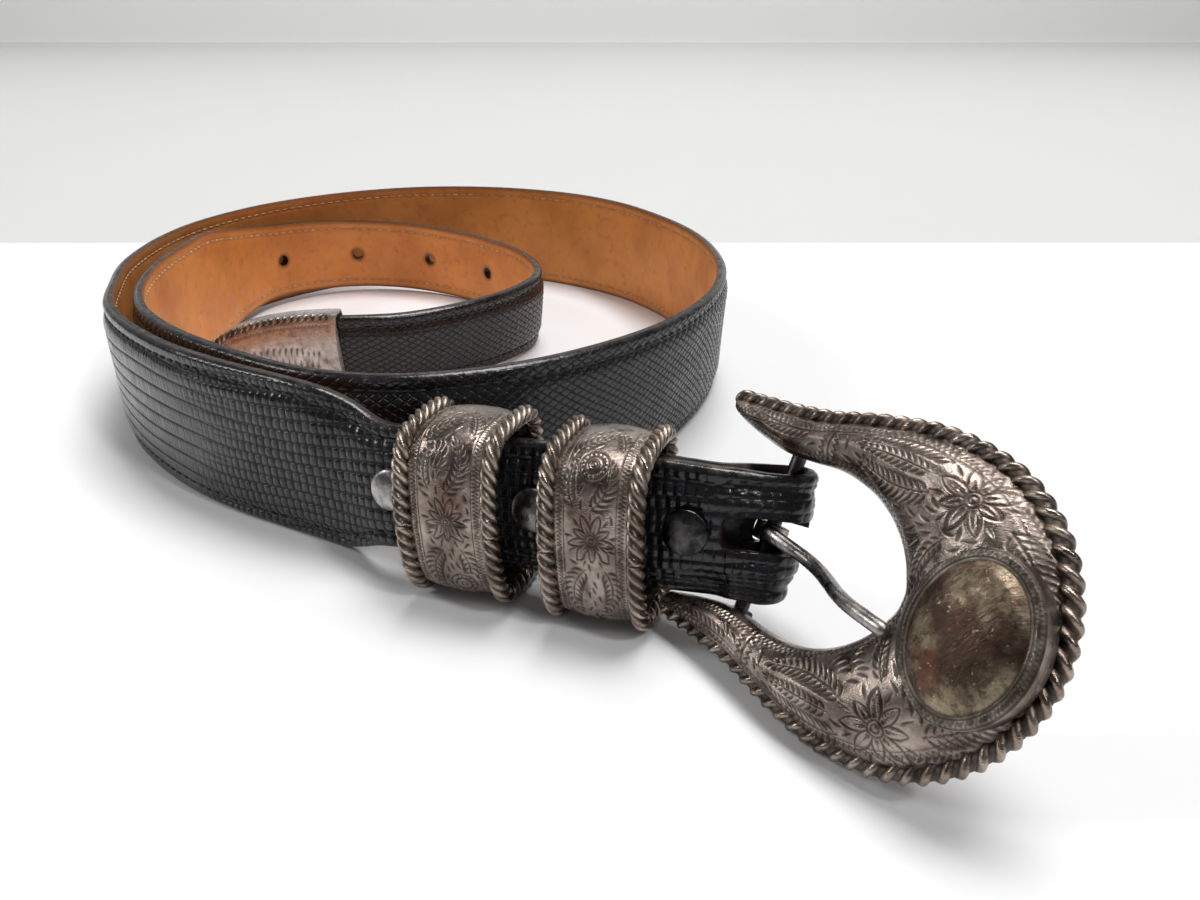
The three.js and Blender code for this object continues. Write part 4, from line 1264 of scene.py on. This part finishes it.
def keeper(index):
    name = "keeper_%d" % (index + 1)
    place = keeper_place(index)
    half = KEEPER_LENGTH[index] / 2
    loop = Loop(480)
    band = np.linspace(1, -1, 92)
    engraving = keeper_engraving(index)
    inner = [(t * half, 0.0) for t in np.linspace(-1, 1, 8)]
    rings, cuts = [], []
    for q, b, c, db, dc in zip(loop.q, loop.b, loop.c, loop.db, loop.dc):
        near = 1 if abs(q) < 23.5 else 0
        cut = engraving.read(np.full(band.shape, q), band * half) * near
        lift = KEEPER_WALL + KEEPER_DOME * (1 - band ** 2) - CUT_DEPTH * cut
        lift = lift + 0.03 * wobble(q, band * half, 2.2, index)
        a = np.concatenate([[p[0] for p in inner], band * half])
        r = np.concatenate([[p[1] for p in inner], lift])
        rings.append(place.at(a, b + db * r, c + dc * r))
        cuts.append(np.concatenate([np.zeros(len(inner)), cut]))
    rings, cuts = np.array(rings), np.array(cuts)
    seam_dark = np.concatenate([np.zeros(len(inner)), 0.75 * ease((np.abs(band) * half - half + 1.7) / 0.7)])
    q = loop.q[:, None]
    aside = rings @ place.along - place.origin @ place.along
    stain = np.exp(-(((q - 4.5) / 3.2) ** 2 + ((aside - 0.5) / 4) ** 2)) * KEEPER_STAIN[index]
    points, faces = loft(rings, True)
    shells = Shells("cut", "tarnish")
    shells.add(points, faces, 0, cut=np.maximum(cuts, seam_dark), tarnish=stain)
    shells.piece(name + "_band", name, name, [SILVER])
    level = KEEPER_WALL * 0.5 + KEEPER_ROPE * 0.75
    walk = Loop(200)
    paths = [walk.at(place, np.full(200, side * half), level) for side in (-1, 1)]
    length = walk.length
    ROPES.grow(name + "_ropes", paths, ROPE, name, name, True, Radius=KEEPER_ROPE * MM * 1.03,
               Pitch=length / round(length / KEEPER_PITCH) * MM)


for index in (0, 1):
    keeper(index)


# Buckle
# Directions of the bar and the prong, and those of the crescent, which is turned a little from them.
def buckle_places():
    fold = stretch_place(FOLD_TILT)
    tilt, lean, swing = (math.radians(v) for v in (BAR_TILT, BAR_LEAN, SWING))
    bar = fold.up * math.cos(tilt) + fold.along * math.sin(tilt)
    bar = unit(bar * math.cos(lean) - fold.out * math.sin(lean))
    straight = unit(fold.along - bar.dot(fold.along) * bar)
    front = unit(np.cross(bar, straight))
    front = -front if front[1] > 0 else front
    along = straight * math.cos(swing) + front * math.sin(swing)
    out = unit(np.cross(along, bar))
    out = -out if out[1] > 0 else out
    origin = stretch.at(BAR_ALONG, 0, -BAR_BEHIND) - out * BAR_DEPTH
    skew = math.radians(BODY_SKEW)
    turned = along * math.cos(skew) - bar * math.sin(skew), bar * math.cos(skew) + along * math.sin(skew)
    return Place(origin, along, bar, out), Place(origin, *turned, out)


buckle, body = buckle_places()

# Half outline of the crescent. Columns: outer along, outer up, inner along, inner up, dome height
BUCKLE_HALF = [
    (-12.8, 18.8, -12.3, 16.4, 0.6), (-12.0, 19.5, -11.2, 15.5, 2.0), (-8.6, 19.7, -8.2, 14.4, 3.0),
    (-4.0, 19.9, -4.0, 13.3, 3.4), (1.0, 20.3, 0.4, 12.5, 3.6), (6.0, 20.9, 4.6, 12.6, 3.9),
    (11.0, 22.0, 8.6, 12.9, 4.3), (16.5, 23.0, 12.6, 12.7, 4.8), (23.0, 23.6, 16.6, 11.7, 5.3),
    (29.4, 23.0, 20.0, 10.0, 5.6), (35.4, 21.2, 22.8, 7.7, 5.7), (40.4, 18.0, 24.8, 5.2, 5.7),
    (44.6, 13.4, 26.0, 2.9, 5.7), (47.6, 7.2, 26.6, 1.4, 5.7),
]


def crescent_rows(steps):
    mirrored = [(a, -b, c, -d, e) for a, b, c, d, e in reversed(BUCKLE_HALF)]
    rows = np.array(BUCKLE_HALF + [(48.8, 0, 26.7, 0, 5.7)] + mirrored, float)
    last = len(rows) - 1
    parts = [cubic(rows, i, np.arange(steps) / steps) for i in range(last - 1)]
    parts.append(cubic(rows, last - 2, np.arange(1) + TAIL_END))
    keep = int(steps * TAIL_END)
    return np.vstack(parts[:-2] + [parts[-2][:keep], parts[-1]])


def buckle_engraving():
    e = Engraving((-15, -26), (52, 26))
    rows = crescent_rows(16)
    outer, inner = rows[:, :2], rows[:, 2:4]
    reach = np.linalg.norm(outer - inner, axis=1)[:, None]
    towards = (inner - outer) / reach
    e.wriggle(outer + towards * 3.55, 0.8, 0.36, 0.16)
    e.cut(outer + towards * 4.25, 0.16, (1, 1), 0.8)
    e.wriggle(inner - towards * 0.9, 0.8, 0.3, 0.15)
    for side in (1, -1):
        e.flower(32.0, side * 15.4, 5.2, 8, 0.5 * side)
        for start, bend, end, size in (
            ((27.2, 19.0), (22.5, 21.2), (15.0, 18.8), 2.2), ((26.6, 14.4), (21.0, 12.6), (14.8, 15.4), 2.2),
            ((37.4, 13.4), (43.6, 9.4), (45.4, 3.4), 2.3), ((30.6, 9.6), (27.6, 6.2), (28.0, 2.0), 1.4),
            ((36.8, 17.4), (39.8, 16.4), (42.0, 13.0), 1.3), ((25.4, 16.8), (20.5, 17.4), (14.6, 17.2), 1.5),
            ((5.2, 16.6), (-1.5, 15.6), (-8.4, 17.4), 1.7),
        ):
            e.plume((start[0], side * start[1]), (bend[0], side * bend[1]), (end[0], side * end[1]), size)
        for along in (9.6, 7.4):
            e.wriggle([(along, side * 12.8), (along + 0.9, side * 19.0)], 0.75, 0.38, 0.16)
        e.cut([(8.5, side * 12.8), (9.4, side * 19.0)], 0.18, (1, 1), 0.8)
    e.fill((-12, -25), (50, 25), 0.7, 1.8)
    return e


def crescent():
    rows = crescent_rows(20)
    path = walked(rows[:, :2])
    even = np.linspace(0, path[-1], 740)
    rows = np.column_stack([np.interp(even, path, rows[:, k]) for k in range(5)])
    t = np.linspace(0, 1, 108)
    marks = [0, 0.06, 0.24, 0.46, 0.68, 0.86, 1]
    base = np.interp(t, marks, [0.4, 0.6, 0.6, 0.6, 0.6, 0.4, 0])
    rise = np.interp(t, marks, [0.1, 0.42, 0.84, 1, 0.86, 0.46, 0])
    for _ in range(3):
        rise[4:-4] = np.convolve(rise, np.ones(9) / 9, "valid")
    oa, ob, ia, ib, high = (rows[:, k][:, None] for k in range(5))
    reach = np.hypot(oa - ia, ob - ib)
    f = t * (1 - ROPE_RADIUS / np.maximum(reach, ROPE_RADIUS * 2))
    a, b = ia + (oa - ia) * f, ib + (ob - ib) * f
    engraving = buckle_engraving()
    cut = engraving.read(a, b)
    skin = ease(t / 0.06) * ease((1 - t) / 0.08)
    level = base + rise * (high - base) - 0.19 * cut * skin + 0.04 * wobble(a, b, 2.6, 1)
    under = np.linspace(1, 0, 8)
    fu = under * (1 - ROPE_RADIUS / np.maximum(reach, ROPE_RADIUS * 2))
    back = body.at(ia + (oa - ia) * fu, ib + (ob - ib) * fu, np.full(fu.shape, BACK_LEVEL))
    points = np.concatenate([body.at(a, b, level), back], 1)
    dark = np.maximum(cut * skin, 0.8 * ease((t - 0.9) / 0.08))
    cuts = np.concatenate([dark * np.ones_like(a), np.zeros(fu.shape)], 1)
    shells = Shells("cut", "tarnish")
    shells.add(*loft(points), 0, cut=np.append(cuts.ravel(), [0, 0]))
    shells.piece("buckle_crescent", "buckle", "buckle_frame", [SILVER])
    f = 1 - ROPE_RADIUS / reach
    rope = body.at((ia + (oa - ia) * f)[:, 0], (ib + (ob - ib) * f)[:, 0], np.full(len(rows), 0.15))
    ROPES.grow("buckle_rope", [rope[::3]], ROPE, "buckle", "buckle_frame", False,
               Radius=ROPE_RADIUS * MM * 0.94, Pitch=BUCKLE_PITCH * MM, **TWO_STRANDS)


crescent()


# Oval plaque: raised ring, sunk line and a domed field with two engraved rings
def plaque():
    steps = np.array([
        (1.25, 1.5), (1.35, 5.0), (1.2, 5.4), (0.7, 5.72), (0.0, 5.85), (-0.3, 5.55), (-0.55, 5.9),
        (-1.6, 6.75), (-3.1, 7.35), (-5.0, 7.72), (-7.35, 7.85),
    ])
    run = np.concatenate([[0], np.cumsum(np.hypot(*np.diff(steps, axis=0).T))])
    at = np.linspace(0, run[-1], 100)
    grow, level = np.interp(at, run, steps[:, 0]), np.interp(at, run, steps[:, 1])
    level[2:-2] = np.convolve(level, np.ones(5) / 5, "valid")
    angle = circle(220)[None, :]
    grow, level = grow[:, None], level[:, None]
    wide = np.maximum(PLAQUE_HALF[0] + grow, 0.04)
    tall = np.maximum(PLAQUE_HALF[1] + grow * (1 + 0.32 * ease(-grow / 7)), 0.04)
    a, b = wide * np.cos(angle), tall * np.sin(angle)
    e = Engraving((-10, -13), (10, 13))
    for inset in (-1.15, -0.1):
        across, high = PLAQUE_HALF[0] - inset, PLAQUE_HALF[1] - inset
        e.ring(0, 0, across, 0.2, high / across)
    turn = np.linspace(0, 2 * math.pi, 200)
    middle = np.column_stack([(PLAQUE_HALF[0] + 0.6) * np.cos(turn), (PLAQUE_HALF[1] + 0.6) * np.sin(turn)])
    e.wriggle(middle, 0.6, 0.42, 0.15)
    cut = e.read(a, b) * (level > 5.2)
    level = level - CUT_DEPTH * cut + 0.03 * wobble(a, b, 2.1, 4)
    points = body.at(PLAQUE_CENTRE + a, b, level * np.ones_like(a))
    dark = np.maximum(cut, 0.7 * np.exp(-((grow + 0.3) / 0.22) ** 2) * np.ones_like(a))
    inner = ease((-0.2 - grow) / 0.3) * np.ones_like(a)
    shells = Shells("cut", "tarnish", "dome")
    shells.add(*loft(points), 0, cut=np.append(dark.ravel(), [0, 0]), dome=np.append(inner.ravel(), [0, 1]))
    shells.piece("buckle_plaque", "buckle", "buckle_frame", [OVAL])


plaque()


# A round bar along points, wider or higher than the radius where the shares say so.
def tube(points, radius, axis, wide, high):
    points = np.asarray(points)
    heads = np.gradient(points, axis=0)
    heads /= np.linalg.norm(heads, axis=1)[:, None]
    side = axis - (heads @ axis)[:, None] * heads
    side /= np.linalg.norm(side, axis=1)[:, None]
    up = np.cross(heads, side)
    angle = circle(24)
    rings = (points[:, None, :] + radius * (wide[:, None] * np.cos(angle))[..., None] * up[:, None, :]
             + radius * (high[:, None] * np.sin(angle))[..., None] * side[:, None, :])
    return loft(rings)


# Lugs behind the arms with the bar between them
def bar_and_lugs():
    shells = Shells("cut", "tarnish")
    for side in (-1, 1):
        rings = []
        for c, grow in ((BAR_DEPTH - 1.5, -0.5), (BAR_DEPTH - 1.3, 0), (-1.6, 0), (0.4, 0)):
            turn = circle(36)
            square = soft_square(turn, 0.82)
            a = (LUG_HALF + grow) * np.cos(turn) * square
            b = side * (LUG_INNER + LUG_HALF) + (LUG_HALF + grow) * np.sin(turn) * square
            rings.append(buckle.at(a, b, np.full(36, float(c))))
        shells.add(*loft(np.array(rings)))
    reach = np.linspace(-LUG_INNER - 1, LUG_INNER + 1, 24)
    even = np.ones(len(reach))
    shells.add(*tube(buckle.at(0, reach, BAR_DEPTH), BAR_RADIUS, buckle.out, even, even))
    shells.piece("buckle_bar", "buckle", "buckle_frame", [BLACKED])


bar_and_lugs()

# Prong. Columns: along, up, out
PRONG_LINE = np.array([
    (0.7, 0, -1.35), (2.3, -0.1, -0.95), (5.0, -0.5, -1.2), (8.5, -1.1, -1.7), (12.0, -1.9, -1.2),
    (15.5, -2.7, 0.7), (18.5, -3.3, 2.8), (21.5, -3.8, 4.3), (25.0, -4.3, 4.9), (28.6, -4.8, 5.1),
])


def prong():
    line = smooth_rows(PRONG_LINE, 10)
    t = np.linspace(0, 1, len(line))
    k = np.minimum(1, t / 0.3)
    end = np.sqrt(np.clip(1 - np.clip((t - 0.955) / 0.045, 0, 0.985) ** 2, 0, 1))
    shells = Shells()
    places = buckle.at(line[:, 0], line[:, 1], line[:, 2])
    shells.add(*tube(places, PRONG_RADIUS, buckle.out, (1.35 - 0.35 * k) * end, (0.72 + 0.28 * k) * end))
    turn, rim = circle(64), circle(24)
    soft = soft_square(rim, 0.75)
    r = PRONG_LOOP + 0.53 * np.cos(rim) * soft
    b = 1.45 * np.sin(rim) * soft
    rings = buckle.at(r[None, :] * np.cos(turn)[:, None], np.broadcast_to(b, (64, 24)),
                      BAR_DEPTH + r[None, :] * np.sin(turn)[:, None])
    shells.add(*loft(rings, True))
    shells.piece("prong_pin", "prong", "prong", [PRONG])


prong()


# Rivets turned about their own axis. The numbers: level of the back end, lift and dome of the head
def rivet(index, back, lift, dome, finish):
    front = FACE_MID + lift
    turn = circle(56)
    cap = np.linspace(0, 1, 14)
    edge = RIVET_HEAD * np.cos(cap * math.pi / 2)
    high = front + 0.32 + dome * np.sin(cap * math.pi / 2) ** 0.9
    profile = [(0.05, back - 1), (2.5, back - 1), (2.9, back - 0.85), (3.1, back - 0.6), (3.0, back - 0.3),
               (1.5, back - 0.3), (1.5, front), (3.5, front), (RIVET_HEAD, front + 0.1)]
    profile += [(max(r, 0.05), min(c, front + 0.3 + dome)) for r, c in zip(edge, high)]
    profile = np.array(profile)
    rings = stretch.at(RIVET_ALONG[index] + profile[:, :1] * np.cos(turn), profile[:, :1] * np.sin(turn),
                       np.broadcast_to(profile[:, 1:], (len(profile), 56)))
    shells = Shells()
    shells.add(*loft(rings))
    name = "rivet_%d" % (index + 1)
    shells.piece(name + "_turned", "strap", name, [finish])


rivet(0, -1.45, 0.3, 1.0, STEEL)
rivet(1, -FLAP_BEHIND - 1.4, 0.3, 1.0, GREYED)
rivet(2, -FLAP_BEHIND - 1.4, 0.5, 0.6, BLACKED)


# Tip: a hollow pointed cap with a rope along the edge of its face
def tip_place():
    rise = np.array([TIP_TILT[0], TIP_TILT[1], 1.0])
    up = unit(rise - rise.dot(TIP_DIR) * TIP_DIR)
    return Place(TIP_MOUTH, TIP_DIR, up, unit(np.cross(up, TIP_DIR)))


tip = tip_place()


def tip_half(x, grow):
    t = np.clip(x / TIP_LENGTH, 0, 1)
    return (10.4 + grow) * np.sqrt(np.maximum(0, 1 - t ** 2.3)) * (1 - 0.12 * t)


def belt_tip():
    turn = np.linspace(0, 2 * math.pi, 120, endpoint=False)
    share = np.cos(turn)
    rings, cuts = [], []
    e = Engraving((-2, -12), (33, 12))
    e.plume((2.5, 0), (13, 0.8), (25, 0), 3.4, spacing=1.5)
    for side in (-1, 1):
        x = np.linspace(0.5, 28, 60)
        e.wriggle(np.column_stack([x, side * (tip_half(x, 1.35) - 2.5)]), 0.9, 0.34, 0.17)
    for x in np.linspace(28.2, -0.9, 24):
        h = tip_half(x, 0.32)
        flare = 0.8 if x < 0.5 else 0
        b = h * squarer(share, 0.35)
        c = np.where(np.sin(turn) > 0, 2.1, -1.72 - flare) * np.abs(np.sin(turn)) ** 0.3
        rings.append(tip.at(np.full(120, x), b, c))
        cuts.append(np.full(120, 0.6))
    for x in np.concatenate([np.linspace(-1.2, 26, 110), 32 - 6 * (np.cos(np.linspace(0, 1.54, 30)))]):
        h = tip_half(x, 1.33)
        k = min(1, 0.45 + 0.55 * h / 6)
        b = h * squarer(share, 0.6)
        bow = np.clip(1 - (b / max(h, 0.1)) ** 2, 0, 1)
        face = np.sin(turn) > 0
        cut = np.where(face, e.read(np.full(120, x), b), 0)
        c = np.where(face, 1.6 + 1.95 * bow ** 0.6, -(1.4 + 1.4 * bow ** 0.35)) * k
        c = np.where(np.abs(share) > 0.995, 0, c) - 0.2 * cut
        inset = 0.7 * (1 - (b / max(h, 0.1)) ** 2) * ease(1 - (x + 1.2) / 3)
        rings.append(tip.at(x + inset * face, b, c))
        cuts.append(cut)
    shells = Shells("cut", "tarnish")
    shells.add(*loft(np.array(rings)), 0, cut=np.append(np.ravel(cuts), [0, 0]))
    shells.piece("tip_cap", "strap", "belt_tip", [CAP])
    x = np.concatenate([np.linspace(1.0, 28, 40), 31.9 - 3.9 * np.cos(np.linspace(0.25, math.pi / 2, 14))])
    h = tip_half(x, 1.33)
    c = 2.35 * np.minimum(1, 0.45 + 0.55 * h / 6)
    path = np.vstack([tip.at(x, -(h - 0.45), c), tip.at(x, h - 0.45, c)[::-1][1:]])
    ROPES.grow("tip_rope", [path], ROPE, "strap", "belt_tip", False, Radius=TIP_ROPE * MM,
               Pitch=TIP_PITCH * MM, **TWO_STRANDS)


belt_tip()


# Floor and light
# A pale floor in front, a grey band of painted shade beyond its edge standing in for a shaded backdrop, and a pale
# wall at the back.
def floor():
    mesh = bpy.data.meshes.new("floor")
    far, wide = WALL_BACK, FLOOR_REACH
    corners = [(-wide, -wide, 0), (wide, -wide, 0), (wide, far, 0), (-wide, far, 0),
               (-wide, far, WALL_HIGH), (wide, far, WALL_HIGH)]
    mesh.from_pydata(corners, [], [(0, 1, 2, 3), (3, 2, 5, 4)])
    ground = bpy.data.objects.new("floor", mesh)
    bpy.context.scene.collection.objects.link(ground)
    f = Finish("pale_floor", roughness=0.5)
    f.shader.inputs["Specular IOR Level"].default_value = 0.3
    table = f.blend(f.noise(60, 3), (0.9, 0.9, 0.91), (0.93, 0.93, 0.935))
    depth = f.put("ShaderNodeSeparateXYZ", {0: f.place}).outputs[1]

    def past(start, end):
        return f.put("ShaderNodeMapRange", {"Value": depth, "From Min": start, "From Max": end}).outputs[0]

    shade_mask = past(*SHADE_EDGE)
    # Painted shade: the floor past the edge is greyed to stand in for the backdrop's shade, and the far wall stays
    # pale.
    shade_and_wall = f.blend(past(WALL_BACK - 0.01, WALL_BACK - 0.005), (0.7, 0.7, 0.69), (0.95, 0.95, 0.94))
    mesh.materials.append(f.done(f.blend(shade_mask, table, shade_and_wall)))
    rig.stage(ground)


# An area light at a place, turned to what it is aimed at.
def light(name, place, aim, width, height, power):
    data = bpy.data.lights.new(name, "AREA")
    data.shape, data.size, data.size_y, data.energy = "RECTANGLE", width, height, power
    lamp = bpy.data.objects.new(name, data)
    place, aim = np.array(place, float), np.array(aim, float)
    lamp.location = place
    lamp.rotation_euler = Vector(aim - place).to_track_quat("-Z", "Y").to_euler()
    bpy.context.scene.collection.objects.link(lamp)


floor()
for row in LIGHTS:
    light(*row)
world = bpy.data.worlds.new("studio")
bpy.context.scene.world = world
world.use_nodes = True
sky = world.node_tree.nodes["Background"].inputs
sky["Color"].default_value = SKY_COLOR
sky["Strength"].default_value = SKY_POWER
bpy.context.scene.view_settings.view_transform = "Standard"

# Camera
lens = bpy.data.cameras.new("camera")
lens.sensor_width, lens.lens = 36, CAMERA_LENS
lens.clip_start, lens.clip_end = 0.01, 100
camera = bpy.data.objects.new("camera", lens)
camera.location = CAMERA_PLACE
camera.rotation_euler = (math.radians(CAMERA_TILT), 0, 0)
bpy.context.scene.collection.objects.link(camera)
bpy.context.scene.camera = camera

with open("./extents.json", "w") as record:
    json.dump({"cad": cad_box, "visual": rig.bounds()}, record, default=lambda v: [float(n) for n in v])
